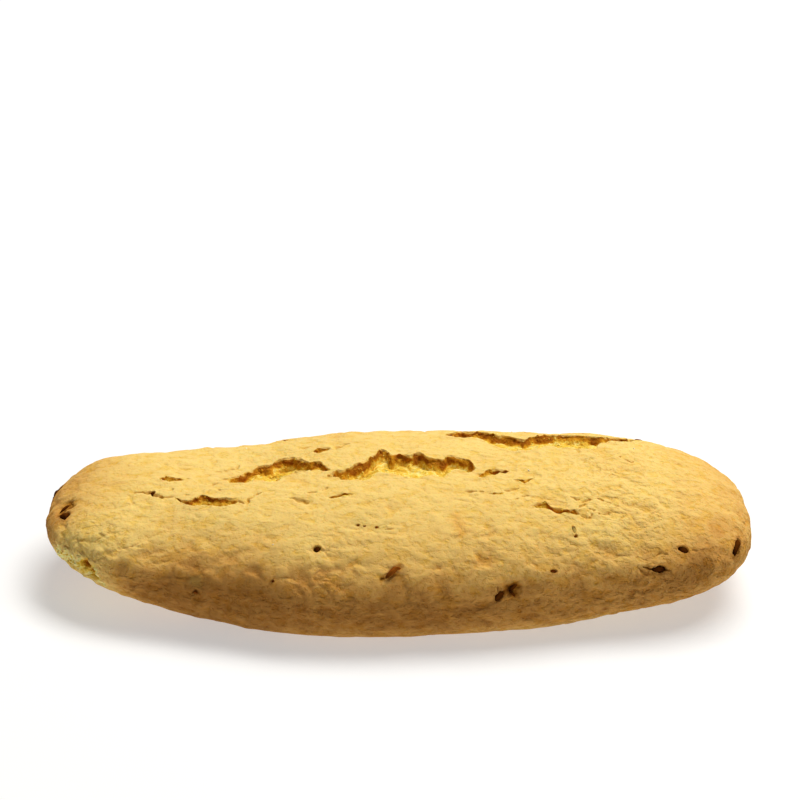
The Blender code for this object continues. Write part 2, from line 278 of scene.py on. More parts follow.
SLITS = (
    Slit(0.20, 0.7, (
        (-49.9, -4.4), (-47.8, -3.8), (-46.3, -4.3), (-45.6, -5.0), (-43.5, -6.3), (-41.6, -6.2),
    )),
    Slit(0.16, 0.35, ((-49.8, -4.6), (-49.1, -7.5), (-48.4, -9.4))),
    Slit(0.22, 0.6, (
        (-29.4, -9.6), (-28.1, -10.9), (-27.4, -10.4), (-27.3, -9.6), (-26.3, -8.0), (-25.2, -7.1),
    )),
    Slit(0.18, 0.5, ((-39.6, -5.6), (-38.7, -5.7))),
    Slit(0.16, 0.4, ((-36.0, -6.1), (-35.2, -4.6), (-34.1, -4.5), (-32.6, -4.7))),
    Slit(0.28, 0.45, ((-35.5, -2.1), (-34.6, -1.3), (-33.6, -0.5))),
    Slit(0.30, 0.45, ((-33.9, 2.1), (-32.9, 1.1), (-31.9, 0.3))),
    Slit(0.24, 0.45, ((-35.0, 5.2), (-32.9, 5.9), (-31.3, 6.1), (-30.5, 8.0))),
    Slit(0.15, 0.35, ((-36.1, 3.3), (-35.1, 4.2))),
    Slit(0.15, 0.35, ((-40.7, 5.6), (-39.6, 6.2))),
    Slit(0.15, 0.30, ((-45.6, 7.4), (-43.9, 7.4))),
    Slit(0.15, 0.35, ((-40.1, 1.2), (-39.3, 1.2))),
    Slit(0.28, 0.45, ((-19.6, 13.0), (-18.8, 12.7), (-18.0, 13.0), (-17.1, 13.2))),
    Slit(0.36, 0.45, ((-13.2, 11.5), (-12.4, 10.8), (-11.6, 11.0), (-10.7, 12.1), (-9.8, 12.4))),
    Slit(0.34, 0.45, ((-19.6, -9.9), (-18.8, -10.7), (-17.6, -11.3), (-16.2, -12.0))),
    Slit(0.28, 0.45, ((-16.7, -8.7), (-15.5, -8.6), (-14.7, -9.0))),
    Slit(0.28, 0.45, ((-14.4, -8.2), (-13.6, -7.3), (-12.5, -7.4))),
    Slit(0.32, 0.45, ((12.0, -9.1), (13.3, -9.3), (14.1, -9.1))),
    Slit(0.30, 0.45, ((14.9, -9.4), (15.5, -9.4))),
    Slit(0.34, 0.45, ((19.1, -9.1), (20.0, -8.9), (20.9, -8.4), (21.9, -8.0))),
    Slit(0.30, 0.45, ((22.3, -10.2), (23.1, -9.9), (23.8, -9.7))),
    Slit(0.28, 0.45, ((21.4, -11.2), (22.3, -10.7))),
    Slit(0.34, 0.45, ((33.2, -14.4), (33.9, -14.5), (34.3, -14.9), (35.0, -14.7), (35.2, -14.1))),
    Slit(0.28, 0.45, ((34.7, -12.9), (35.4, -13.2), (36.1, -13.1))),
    Slit(0.32, 0.45, ((36.1, -14.1), (37.2, -13.6), (38.7, -13.2))),
    Slit(0.26, 0.45, ((31.5, -9.7), (32.4, -10.4), (33.2, -10.3))),
    Slit(0.26, 0.45, ((33.6, -10.9), (34.4, -10.4), (35.4, -10.1))),
    Slit(0.24, 0.45, ((32.6, -12.8), (33.3, -12.1), (33.8, -11.5), (34.6, -11.6))),
    Slit(0.16, 0.4, ((35.9, -9.2), (37.3, -10.1), (38.2, -10.7), (39.2, -10.5))),
    Slit(0.16, 0.4, ((38.8, -2.1), (39.5, -1.4), (40.4, -1.8))),
    Slit(0.16, 0.4, ((40.8, 5.9), (41.5, 4.8), (42.4, 4.2), (43.3, 3.4), (44.2, 4.1))),
    Slit(0.30, 0.7, ((44.3, -21.9, 13.8), (45.2, -21.9, 13.6), (46.1, -21.9, 13.3))),
    Slit(0.26, 0.4, ((43.0, -22.0, 13.9), (43.9, -22.2, 13.3), (44.7, -22.3, 12.6), (45.4, -22.1, 13.1))),
    Slit(0.28, 0.6, ((48.1, -21.6, 13.3), (48.8, -21.5, 13.1), (49.4, -21.5, 12.8))),
    Slit(0.26, 0.5, ((-13.9, -23.6, 17.6), (-13.1, -23.9, 17.6), (-12.3, -23.6, 17.8))),
    Slit(0.45, 0.75, ((-3.3, -28.1, 14.2), (-1.7, -28.0, 14.3))),
    Slit(0.24, 0.4, ((18.0, -27.6, 11.8), (18.1, -27.3, 12.8))),
    Slit(1.00, 0.90, ((21.4, -26.9, 12.4), (20.2, -27.3, 11.8))),
    Slit(0.75, 0.85, ((20.2, -27.3, 11.8), (21.2, -27.4, 10.6))),
    Slit(0.34, 0.4, ((-37.1, -25.1, 8.7), (-36.4, -25.3, 9.7), (-35.8, -25.5, 9.2))),
    Slit(0.20, 0.25, ((12.0, -29.6), (14.0, -29.4), (16.9, -28.5))),
    Slit(0.20, 0.3, ((-2.6, -19.5, 19.9), (-1.7, -19.5, 19.9), (-0.4, -19.5, 19.8))),
    Slit(0.95, 0.75, ((-62.9, -6.0, 14.8), (-62.6, -4.5, 15.0), (-61.9, -4.0, 15.4), (-61.1, -4.9, 15.7))),
    Slit(0.36, 0.4, ((-61.1, -2.8, 15.8), (-60.9, -5.0, 15.8))),
    Slit(0.36, 0.4, ((-47.2, -4.0, 18.2), (-46.3, -4.5, 18.3), (-44.7, -5.4, 18.4), (-43.6, -6.1, 18.5))),
    Slit(0.50, 0.22, (
        (-61.6, -9.8, 15.0), (-61.9, -12.0, 14.1), (-61.6, -14.0, 12.9), (-60.9, -15.3, 12.1),
    )),
    Slit(0.46, 0.22, (
        (-58.8, -14.9, 14.5), (-58.0, -16.9, 13.4), (-57.1, -18.0, 12.5), (-55.5, -19.0, 12.3),
    )),
    Slit(0.40, 0.15, ((-61.1, -7.4, 15.7), (-61.2, -10.6, 15.0))),
    Slit(0.40, 0.20, ((-55.0, -18.8, 13.0), (-53.3, -18.8, 13.9), (-51.4, -19.3, 14.0))),
    Slit(0.40, 0.16, ((-54.4, -15.8, 15.5), (-52.1, -15.8, 15.9), (-50.2, -16.4, 15.9))),
    Slit(0.40, 0.18, ((-50.8, -18.7, 14.6), (-48.5, -18.4, 15.2), (-46.7, -19.0, 15.1))),
    Slit(0.36, 0.20, ((-44.7, -21.4, 13.5), (-42.8, -22.0, 13.3), (-41.4, -21.8, 13.9))),
    Slit(0.34, 0.20, (
        (-23.0, -27.7, 12.4), (-22.1, -27.3, 13.4), (-20.8, -27.1, 13.9), (-19.0, -27.3, 14.0),
    )),
    Slit(0.34, 0.28, ((-14.4, -27.4, 14.7), (-13.4, -27.9, 14.2), (-12.5, -27.8, 14.4))),
    Slit(0.34, 0.22, ((-11.9, -29.0, 12.5), (-10.8, -28.8, 13.1), (-9.1, -28.8, 13.1))),
    Slit(0.22, 0.28, ((46.4, -20.5, 15.4), (47.7, -19.9, 15.9), (48.7, -20.1, 15.5))),
    Slit(0.22, 0.28, ((52.9, -18.7, 16.0), (54.1, -18.7, 15.5), (55.6, -18.0, 15.6))),
    Slit(0.22, 0.25, ((50.7, -12.8, 19.3), (52.1, -13.0, 19.0), (53.4, -12.1, 19.1))),
    Slit(0.22, 0.25, ((45.8, -12.7, 19.8), (47.1, -11.9, 19.9), (47.5, -13.1, 19.6))),
    Slit(0.20, 0.3, ((37.1, -1.4), (38.4, -1.0))),
)

FRONT_SEEDS = (
    Seed((-1.9, -27.9, 14.4), (0.7, -26.4, 16.0), 1.15, -0.20, Tone.BROWN),
    Seed((61.5, -15.6, 13.0), (62.3, -12.7, 14.9), 1.65, 0.35, Tone.DARK),
    Seed((-61.9, -8.8, 15.0), (-61.4, -7.0, 15.5), 1.5, 0.15, Tone.DARK),
    Seed((-62.9, -6.3, 14.8), (-61.2, -4.7, 15.7), 0.7, 0.05, Tone.DARK),
    Seed((-65.6, 1.6), (-63.9, 4.8), 1.3, 0.1, Tone.DARK),
    Seed((45.9, -21.9, 13.4), (48.3, -21.6, 13.3), 1.25, 0.45, Tone.DARK),
    Seed((50.7, -18.9, 16.2), (52.4, -19.15, 15.6), 0.95, 0.40, Tone.DARK),
    Seed((17.5, -28.1, 10.0), (19.1, -27.5, 11.6), 1.25, 0.45, Tone.DARK),
    Seed((-14.9, -23.3, 17.8), (-13.8, -23.3, 17.8), 1.0, 0.35, Tone.DARK),
    Seed((-46.1, -4.4, 18.4), (-45.3, -4.2, 18.4), 0.8, 0.15, Tone.DARK),
    Seed((-36.8, -25.2, 9.3), (-36.0, -25.3, 9.1), 0.5, 0.25, Tone.BROWN),
    Seed((27.5, -24.6, 14.3), (28.7, -24.6, 14.3), 0.55, 0.40, Tone.BROWN),
    Seed((-22.4, -27.4, 13.2), (-21.8, -27.4, 13.2), 0.45, 0.30, Tone.BROWN),
    Seed((32.0, -19.2, 18.4), (32.3, -18.9, 18.6), 0.45, 0.20, Tone.BROWN),
    Seed((-7.4, -18.5, 20.1), (-6.9, -18.5, 20.1), 0.30, 0.20, Tone.BROWN),
    Seed((-6.2, -18.8, 20.1), (-5.7, -18.8, 20.1), 0.32, 0.20, Tone.BROWN),
    Seed((-4.0, -19.0, 20.1), (-3.5, -19.0, 20.1), 0.36, 0.20, Tone.BROWN),
    Seed((20.1, -27.3, 11.7), (21.5, -26.8, 12.7), 0.6, 0.12, Tone.DARK),
    Seed((20.2, -27.4, 11.7), (21.2, -27.4, 10.6), 0.5, 0.12, Tone.DARK),
    Seed((31.6, -17.0, 19.4), (32.0, -18.6, 18.7), 0.6, 0.12, Tone.GREY),
    Seed((-18.8, 3.0, 20.0), (-17.8, 3.2, 20.0), 0.9, 1.3, Tone.DARK),
)
BACK_SEEDS = 9
RANDOM_SEED = 27

TORN_CORNER = (
    Patch((-62.4, -12.6, 9.8), 2.3),
    Patch((-60.5, -15.3, 9.8), 2.5),
    Patch((-58.0, -17.4, 9.8), 2.5),
    Patch((-55.6, -18.8, 8.8), 2.2),
    Patch((-54.6, -18.6, 7.2), 1.7),
)
# Painted light: the crust round the torn corner is paled, as though lit, where the corner falls in shade.
LIT_CORNER = Patch((-58.0, -17.0, 8.0), 10.0)
# Browner patches: partly uneven browning, partly painted shade where the sides fall darker.
TANNED_AND_SHADED_PATCHES = (
    Patch((-60.0, -9.0, 15.0), 5.0),
    Patch((-32.0, -26.0, 10.0), 12.0),
    Patch((52.0, -17.0, 15.0), 7.0),
)
# Painted light: paler patches on the crust, such as a highlight under a split's near lip.
LIT_PATCHES = (
    Patch((-36.0, -13.0, 18.5), 8.0),
    Patch((36.0, -17.0, 19.0), 7.0),
    Patch((-15.0, -23.0, 17.0), 5.0),
)
TORN_HOLES = (
    Patch((-57.3, -18.3, 10.3), 1.25),
    Patch((-56.1, -18.6, 8.9), 0.85),
    Patch((-55.5, -18.4, 7.8), 0.75),
)
STAINS = (
    Patch((10.5, -16.2, 20.9), 1.1),
    Patch((11.0, -18.0, 20.3), 1.2),
    Patch((11.5, -19.8, 19.6), 1.2),
)
OLIVE_PATCHES = (
    Patch((-6.4, -17.4, 20.4), 1.5),
    Patch((-2.6, -19.1, 20.0), 1.5),
    Patch((31.8, -17.9, 19.1), 1.0),
    Patch((-36.3, -24.8, 11.6), 1.2),
    Patch((-59.6, -14.0, 14.0), 2.4),
    Patch((-55.8, -17.0, 14.4), 2.6),
)
CRUMPLED_PATCHES = (
    Patch((43.0, -9.0, 20.0), 12.0),
    Patch((51.0, -17.0, 15.0), 9.0),
    Patch((36.0, 2.0, 21.0), 8.0),
    Patch((-57.0, -14.0, 14.0), 9.0),
)
SUGAR_GRAINS = (
    (-22.1, -21.9, 17.6), (24.0, -1.5, 22.6), (-30.0, 17.0, 18.0), (21.0, 19.0, 18.0), (44.0, 9.0, 20.0),
)


def smoothstep(low: float, high: float, value: np.ndarray) -> np.ndarray:
    """Return how far each value has risen, softly, from 0 at low to 1 at high."""
    t = np.clip((value - low) / (high - low), 0.0, 1.0)
    return t * t * (3.0 - 2.0 * t)


def hashed(cells: np.ndarray) -> np.ndarray:
    """Return a row of a noise's table for each lattice cell."""
    return np.bitwise_xor.reduce(cells * np.array(HASH_FACTORS), axis=1) % TABLE_SIZE


def soft_noise(points: np.ndarray, cell: float, seed: int) -> np.ndarray:
    """Smooth noise whose lumps are about one cell across.

    Args:
        points: Places, one row each.
        cell: The size of a lump.
        seed: Picks the pattern.

    Returns:
        One value from -1 to 1 for each place.
    """
    table = np.random.default_rng(seed).uniform(-1.0, 1.0, TABLE_SIZE)
    scaled = points / cell
    base = np.floor(scaled).astype(np.int64)
    part = scaled - base
    part = part * part * (3.0 - 2.0 * part)
    total = np.zeros(len(points))
    for corner in itertools.product((0, 1), repeat=3):
        weight = np.prod(np.where(np.array(corner) == 1, part, 1.0 - part), axis=1)
        total += weight * table[hashed(base + np.array(corner))]
    return total


def soft_drift(points: np.ndarray, cell: float, seed: int) -> np.ndarray:
    """Return three smooth noises as the columns of a displacement."""
    return np.stack([soft_noise(points, cell, seed + DRIFT_STEP * axis) for axis in range(3)], axis=1)


def plate_gap(points: np.ndarray, cell: float, seed: int) -> np.ndarray:
    """Divide space into uneven plates and tell how far each point is from its plate's edge.

    Args:
        points: Places, one row each.
        cell: About how wide a plate is.
        seed: Picks the pattern.

    Returns:
        For each place, 0 on an edge, and about 1 in the middle of a plate.
    """
    table = np.random.default_rng(seed).uniform(0.0, 1.0, (TABLE_SIZE, 3))
    scaled = points / cell
    base = np.floor(scaled).astype(np.int64)
    first = np.full(len(points), np.inf)
    second = first.copy()
    for corner in itertools.product((-1, 0, 1), repeat=3):
        at = base + np.array(corner)
        away = np.linalg.norm(at + table[hashed(at)] - scaled, axis=1)
        second = np.minimum(second, np.maximum(first, away))
        first = np.minimum(first, away)
    return second - first


@dataclass(frozen=True)
class Noise:
    """A smooth noise: how strong it is, how wide its lumps are in metres, and which pattern it has."""

    strength: float
    cell: float
    pattern: int

    def at(self, points: np.ndarray, first: int = 0) -> np.ndarray:
        """Return the noise at these points, its pattern counted from first."""
        return self.strength * soft_noise(points, self.cell, first + self.pattern)

    def drift(self, points: np.ndarray, first: int = 0) -> np.ndarray:
        """Return three such noises as the columns of a displacement."""
        return self.strength * soft_drift(points, self.cell, first + self.pattern)


def layered(
    layers: tuple[Noise, ...], points: np.ndarray, first: int = 0, start: float | np.ndarray = 0.0
) -> np.ndarray:
    """Return start plus all the noises at these points, their patterns counted from first."""
    return sum((layer.at(points, first) for layer in layers), start)


def segment_gap(points: np.ndarray, start: np.ndarray, end: np.ndarray) -> np.ndarray:
    """Measure how far points are from a straight run.

    Args:
        points: Places, one row each.
        start: Where the run starts.
        end: Where it ends.

    Returns:
        A distance for each place.
    """
    run = end - start
    share = np.clip(((points - start) @ run) / (run @ run), 0.0, 1.0)
    return np.linalg.norm(points - start - share[:, None] * run, axis=1)


def gaussian(value: np.ndarray, width: float | np.ndarray) -> np.ndarray:
    """Return a bell curve that is 1 where value is 0 and fades over width."""
    return np.exp(-((value / width) ** 2))


def keep_values(mesh: bpy.types.Mesh, name: str, values: np.ndarray | float) -> None:
    """Store a value at each point of a mesh, or one for all, under this name."""
    kept = mesh.attributes.new(name, "FLOAT", "POINT")
    kept.data.foreach_set("value", np.full(len(mesh.vertices), values, dtype=np.float32))


def copied(pattern: bpy.types.Object) -> bpy.types.Object:
    """Copy an object and its mesh into the scene.

    Args:
        pattern: The object that is copied.

    Returns:
        The copy.
    """
    obj = pattern.copy()
    obj.data = pattern.data.copy()
    bpy.context.scene.collection.objects.link(obj)
    return obj


def select_only(obj: bpy.types.Object) -> None:
    """Select this object alone and make it active.

    Args:
        obj: The object to select.
    """
    bpy.ops.object.select_all(action="DESELECT")
    obj.select_set(True)
    bpy.context.view_layer.objects.active = obj


def apply_modifier(obj: bpy.types.Object, kind: str, **settings: object) -> None:
    """Add a modifier and apply it.

    Args:
        obj: The object to change.
        kind: The modifier's type.
        settings: Its settings.
    """
    select_only(obj)
    modifier = obj.modifiers.new(kind.lower(), kind)
    for name, value in settings.items():
        setattr(modifier, name, value)
    bpy.ops.object.modifier_apply(modifier=modifier.name)


def read_points(mesh: bpy.types.Mesh) -> np.ndarray:
    """Read a mesh's vertices.

    Args:
        mesh: The mesh to read.

    Returns:
        The vertices' places, one row each.
    """
    points = np.empty(len(mesh.vertices) * 3)
    mesh.vertices.foreach_get("co", points)
    return points.reshape(-1, 3)


def write_points(mesh: bpy.types.Mesh, points: np.ndarray) -> None:
    """Move a mesh's vertices to these points, one row each."""
    mesh.vertices.foreach_set("co", points.ravel())
    mesh.update()


def select_faces(obj: bpy.types.Object, chosen: np.ndarray) -> None:
    """Select exactly these faces of a mesh for edit mode.

    Args:
        obj: The object whose mesh is meant.
        chosen: True for each face to select.
    """
    mesh = obj.data
    bpy.context.tool_settings.mesh_select_mode = (False, False, True)
    mesh.vertices.foreach_set("select", np.zeros(len(mesh.vertices), dtype=bool))
    mesh.edges.foreach_set("select", np.zeros(len(mesh.edges), dtype=bool))
    mesh.polygons.foreach_set("select", chosen)


def subdivide_along(obj: bpy.types.Object, axis: int, cells: int) -> None:
    """Cut every edge that runs along one axis into this many cells.

    Args:
        obj: The object to cut.
        axis: 0, 1 or 2.
        cells: How many cells each edge becomes.
    """
    mesh = obj.data
    points = read_points(mesh)
    ends = np.empty(len(mesh.edges) * 2, dtype=np.int64)
    mesh.edges.foreach_get("vertices", ends)
    ends = ends.reshape(-1, 2)
    along = np.abs(points[ends[:, 0], axis] - points[ends[:, 1], axis]) > 1e-6
    bpy.context.tool_settings.mesh_select_mode = (False, True, False)
    mesh.vertices.foreach_set("select", np.zeros(len(mesh.vertices), dtype=bool))
    mesh.polygons.foreach_set("select", np.zeros(len(mesh.polygons), dtype=bool))
    mesh.edges.foreach_set("select", along)
    bpy.ops.object.mode_set(mode="EDIT")
    bpy.ops.mesh.subdivide(number_cuts=cells - 1)
    bpy.ops.object.mode_set(mode="OBJECT")


class Wire:
    """A socket that Python's arithmetic can work on."""

    def __init__(self, bench: "Bench", socket: bpy.types.NodeSocket) -> None:
        """Keep the bench and the socket."""
        self.bench = bench
        self.socket = socket

    def _math(self, operation: str, first: object, second: object) -> "Wire":
        """Add a Math node on two operands and return its result."""
        return self.bench.node("ShaderNodeMath", {"operation": operation}, {0: first, 1: second})

    def __add__(self, other: object) -> "Wire":
        """Return self + other."""
        return self._math("ADD", self, other)

    __radd__ = __add__

    def __sub__(self, other: object) -> "Wire":
        """Return self - other."""
        return self._math("SUBTRACT", self, other)

    def __rsub__(self, other: object) -> "Wire":
        """Return other - self."""
        return self._math("SUBTRACT", other, self)

    def __mul__(self, other: object) -> "Wire":
        """Return self * other."""
        return self._math("MULTIPLY", self, other)

    __rmul__ = __mul__


class Bench:
    """A material's node tree and the few ways in which this script adds to it."""

    def __init__(self, name: str) -> None:
        """Start a material with one Principled shader.

        Args:
            name: The material's name.
        """
        self.material = bpy.data.materials.new(name)
        self.material.use_nodes = True
        self.tree = self.material.node_tree
        self.shader = self.tree.nodes["Principled BSDF"]

    def node(self, kind: str, settings: dict, inputs: dict, output: int | str = 0) -> Wire:
        """Add any node.

        Args:
            kind: The node's type.
            settings: What is set on the node first, with a ramp's stops under "stops".
            inputs: A value or a wire for each socket, by name or number.
            output: The socket to return.

        Returns:
            The chosen output.
        """
        made = self.tree.nodes.new(kind)
        for name, value in settings.items():
            if name == "stops":
                self._stops(made.color_ramp, value)
            else:
                setattr(made, name, value)
        for name, value in inputs.items():
            self.feed(made.inputs[name], value)
        return Wire(self, made.outputs[output])

    def _stops(self, ramp: bpy.types.ColorRamp, stops: list) -> None:
        """Set a ramp's stops.

        Args:
            ramp: The ramp to set.
            stops: A place and a colour for each stop.
        """
        while len(ramp.elements) < len(stops):
            ramp.elements.new(1.0)
        for element, (place, colour) in zip(ramp.elements, stops):
            element.position = place
            element.color = (*colour, 1.0)

    def feed(self, socket: bpy.types.NodeSocket, value: object) -> None:
        """Link a wire to a socket, or set its value.

        Args:
            socket: The socket.
            value: A wire, a number, or a tuple for a colour or vector.
        """
        if isinstance(value, Wire):
            self.tree.links.new(value.socket, socket)
        elif isinstance(value, tuple) and socket.type == "RGBA":
            socket.default_value = (*value, 1.0)
        else:
            socket.default_value = value

    def attribute(self, mark: Mark) -> Wire:
        """Read a mark that the mesh keeps at its points."""
        return self.node("ShaderNodeAttribute", {"attribute_name": mark.value}, {}, "Fac")

    def place(self, scale: Triple = (1.0, 1.0, 1.0)) -> Wire:
        """Return the object's own coordinates, stretched by scale."""
        plain = self.node("ShaderNodeTexCoord", {}, {}, "Object")
        return self.node("ShaderNodeMapping", {"vector_type": "POINT"}, {"Vector": plain, "Scale": scale})

    def noise(self, place: Wire, size: float, detail: float = 2.0, rough: float = 0.5) -> Wire:
        """Return noise from 0 to 1 whose lumps are about size metres across."""
        values = {"Vector": place, "Scale": 1.0 / size, "Detail": detail, "Roughness": rough}
        return self.node("ShaderNodeTexNoise", {}, values, "Fac")

    def ramp(self, factor: Wire, low: float, high: float) -> Wire:
        """Return a smooth step of factor from low to high."""
        values = {"Value": factor, "From Min": low, "From Max": high}
        return self.node("ShaderNodeMapRange", {"interpolation_type": "SMOOTHSTEP"}, values)

    def mix(self, factor: object, first: object, second: object, blend: str = "MIX") -> Wire:
        """Turn one colour into another by a factor.

        Args:
            factor: How far the first colour turns, from 0 to 1.
            first: The first colour.
            second: The second colour.
            blend: How the second one acts on the first.

        Returns:
            The blended colour.
        """
        made = self.tree.nodes.new("ShaderNodeMix")
        made.data_type = "RGBA"
        made.blend_type = blend
        for number, value in ((0, factor), (6, first), (7, second)):
            self.feed(made.inputs[number], value)
        return Wire(self, made.outputs[2])

    def shade(self, colour: object, amount: Wire) -> Wire:
        """Multiply a colour by a grey amount.

        Args:
            colour: The colour.
            amount: How bright it is left.

        Returns:
            The shaded colour.
        """
        made = self.tree.nodes.new("ShaderNodeVectorMath")
        made.operation = "SCALE"
        self.feed(made.inputs[0], colour)
        self.feed(made.inputs["Scale"], amount)
        return Wire(self, made.outputs[0])

    def bump(self, height: Wire, distance: float) -> Wire:
        """Return a normal that follows a height, whose unit is distance metres."""
        return self.node("ShaderNodeBump", {}, {"Height": height, "Distance": distance, "Strength": 1.0})

    def finish(self, **sockets: object) -> bpy.types.Material:
        """Feed the shader's sockets.

        Args:
            sockets: A value or a wire for each socket, named with underscores for spaces.

        Returns:
            The material.
        """
        for name, value in sockets.items():
            self.feed(self.shader.inputs[name.replace("_", " ")], value)
        return self.material


@dataclass(frozen=True)
class CrustFinish:
    """Baked crust, pale over the crown and browner down its sides partly as painted shade, torn open to
    yellow crumb.
    """

    pale: Triple = (0.84, 0.59, 0.185)
    golden: Triple = (0.775, 0.485, 0.138)
    tan: Triple = (0.63, 0.325, 0.080)
    brown: Triple = (0.38, 0.17, 0.036)
    # Painted light: the palest crumb stop, paler than the crumb's own colour, used on the torn corner, which
    # falls in shade.
    lit_crumb: Triple = (0.98, 0.83, 0.32)
    pale_crumb: Triple = (0.94, 0.77, 0.24)
    crumb: Triple = (0.80, 0.52, 0.06)
    toasted: Triple = (0.60, 0.26, 0.010)
    # The darkest crumb colour, reached mostly under the splits' far lips, partly as painted shade.
    scorched_and_shaded: Triple = (0.33, 0.10, 0.004)
    stain: Triple = (0.78, 0.40, 0.075)
    olive: Triple = (0.58, 0.46, 0.13)
    # Painted shade: the creased colour is multiplied into shallow cracks and creases, and the crevice colour
    # is laid into deep ones and seed pits.
    creased: Triple = (0.76, 0.60, 0.28)
    crevice: Triple = (0.11, 0.030, 0.002)
    # Painted shade: the crust is multiplied by this warm brown in the lows of the crinkles and pebbles that
    # the bump follows.
    crinkle_shade_colour: Triple = (0.93, 0.78, 0.28)
    crust_places: tuple[float, ...] = (0.0, 0.35, 0.65, 1.0)
    crumb_places: tuple[float, ...] = (0.0, 0.10, 0.27, 0.60, 1.0)
    stretch: Triple = (0.82, 1.0, 1.0)
    broad_size: float = 9.0 * MM
    mottle_size: float = 2.2 * MM
    crinkle_size: float = 1.9 * MM
    pebble_size: float = 0.85 * MM
    grain_size: float = 0.3 * MM
    crease_band: Station = (0.50, 0.36)
    pit_band: Station = (0.48, 0.36)
    creased_band: Station = (0.0, 0.5)
    crevice_shade_band: Station = (0.35, 0.9)
    broad_heat: float = 0.12
    mottle_heat: float = 0.22
    # Painted shade: the pebbles' lows are browned and their tops paled.
    pebble_hollow_shade: float = -0.12
    # How strongly the crinkle and pebble lows are painted darker.
    crease_shade_tint: float = 0.44
    pit_shade_tint: float = 0.36
    tint_on_smooth: float = 0.75
    tint_on_rough: float = 0.12
    mottle_flecks: float = 0.45
    pebble_flecks: float = 0.8
    grain_flecks: float = 0.4
    grain_shade: Station = (0.92, 0.16)
    crinkle_height: float = 0.33
    crease_depth: float = 0.05
    crinkle_on_smooth: float = 0.55
    crinkle_on_rough: float = 0.40
    pebble_height: float = 0.24
    grain_height: float = 0.05
    pit_depth: float = 0.06

    def build(self) -> bpy.types.Material:
        """Build the material.

        Returns:
            The material.
        """
        bench = Bench("crust")
        place = bench.place()
        along = bench.place(self.stretch)
        mottle = bench.noise(place, self.mottle_size, 2.0)
        crinkle = bench.noise(along, self.crinkle_size, 2.0)
        pebble = bench.noise(along, self.pebble_size, 3.0, 0.55)
        grain = bench.noise(place, self.grain_size, 1.0)
        crease = bench.ramp(crinkle, *self.crease_band)
        pit = bench.ramp(pebble, *self.pit_band)
        rough = bench.attribute(Mark.ROUGH)
        crust = self._baked(bench, bench.noise(place, self.broad_size, 3.0), mottle, pebble)
        # Painted shade in the lows of the same crinkles and pebbles that shape the bump.
        crinkle_shade = crease * self.crease_shade_tint + pit * self.pit_shade_tint
        crinkle_shade = crinkle_shade * (self.tint_on_smooth + rough * self.tint_on_rough)
        crust = self._marked(bench, bench.mix(crinkle_shade, crust, self.crinkle_shade_colour, "MULTIPLY"))
        colour = bench.mix(bench.attribute(Mark.CRUMB), crust, self._inside(bench, mottle, pebble, grain))
        dimmest, lighter = self.grain_shade
        height = crinkle * self.crinkle_height - crease * self.crease_depth
        height = height * (self.crinkle_on_smooth + rough * self.crinkle_on_rough)
        fine = pebble * self.pebble_height + grain * self.grain_height - pit * self.pit_depth
        return bench.finish(
            Base_Color=bench.shade(colour, dimmest + grain * lighter),
            Roughness=0.8 + grain * 0.2,
            Normal=bench.bump(height + fine * rough, 1.0 * MM),
            Specular_IOR_Level=0.08,
            Subsurface_Weight=0.28,
            Subsurface_Radius=(1.0, 0.6, 0.25),
            Subsurface_Scale=0.45 * MM,
        )

    def _baked(self, bench: Bench, broad: Wire, mottle: Wire, pebble: Wire) -> Wire:
        """Colour the crust by its bake mark: browning, with painted light and shade.

        Args:
            bench: The material's bench.
            broad: Noise of the widest lumps.
            mottle: Noise of middling lumps.
            pebble: Noise of small lumps.

        Returns:
            The colour.
        """
        bake = bench.attribute(Mark.BAKE)
        heat = bake + (broad - 0.5) * (self.broad_heat + bake * self.broad_heat)
        heat = heat + (mottle - 0.5) * (self.mottle_heat + bake * self.mottle_heat)
        # Painted shade: the pebbles' lows are browner.
        heat = heat + (pebble - 0.5) * self.pebble_hollow_shade
        stops = list(zip(self.crust_places, (self.pale, self.golden, self.tan, self.brown)))
        return bench.node("ShaderNodeValToRGB", {"stops": stops}, {"Fac": heat})

    def _marked(self, bench: Bench, crust: Wire) -> Wire:
        """Stain the crust and paint shade into its cracks, creases and seed pits.

        Args:
            bench: The material's bench.
            crust: The crust's colour so far.

        Returns:
            The crust's colour with its marks.
        """
        crevice = bench.attribute(Mark.CREVICE_SHADE)
        crust = bench.mix(bench.attribute(Mark.STAIN), crust, self.stain)
        crust = bench.mix(bench.attribute(Mark.OLIVE), crust, self.olive)
        # Painted shade: a warm darkening in shallow cracks, near black in deep ones.
        crust = bench.mix(bench.ramp(crevice, *self.creased_band), crust, self.creased, "MULTIPLY")
        return bench.mix(bench.ramp(crevice, *self.crevice_shade_band), crust, self.crevice)

    def _inside(self, bench: Bench, mottle: Wire, pebble: Wire, grain: Wire) -> Wire:
        """Colour the crumb by its toast mark, browning with painted shade, and with flecks.

        Args:
            bench: The material's bench.
            mottle: Noise of middling lumps.
            pebble: Noise of small lumps.
            grain: Noise of the finest grain.

        Returns:
            The colour.
        """
        flecks = (mottle - 0.5) * self.mottle_flecks + (pebble - 0.5) * self.pebble_flecks
        flecks = flecks + (grain - 0.5) * self.grain_flecks
        colours = (self.lit_crumb, self.pale_crumb, self.crumb, self.toasted, self.scorched_and_shaded)
        stops = list(zip(self.crumb_places, colours))
        toasted = bench.attribute(Mark.TOAST_AND_SHADE) + flecks
        return bench.node("ShaderNodeValToRGB", {"stops": stops}, {"Fac": toasted})


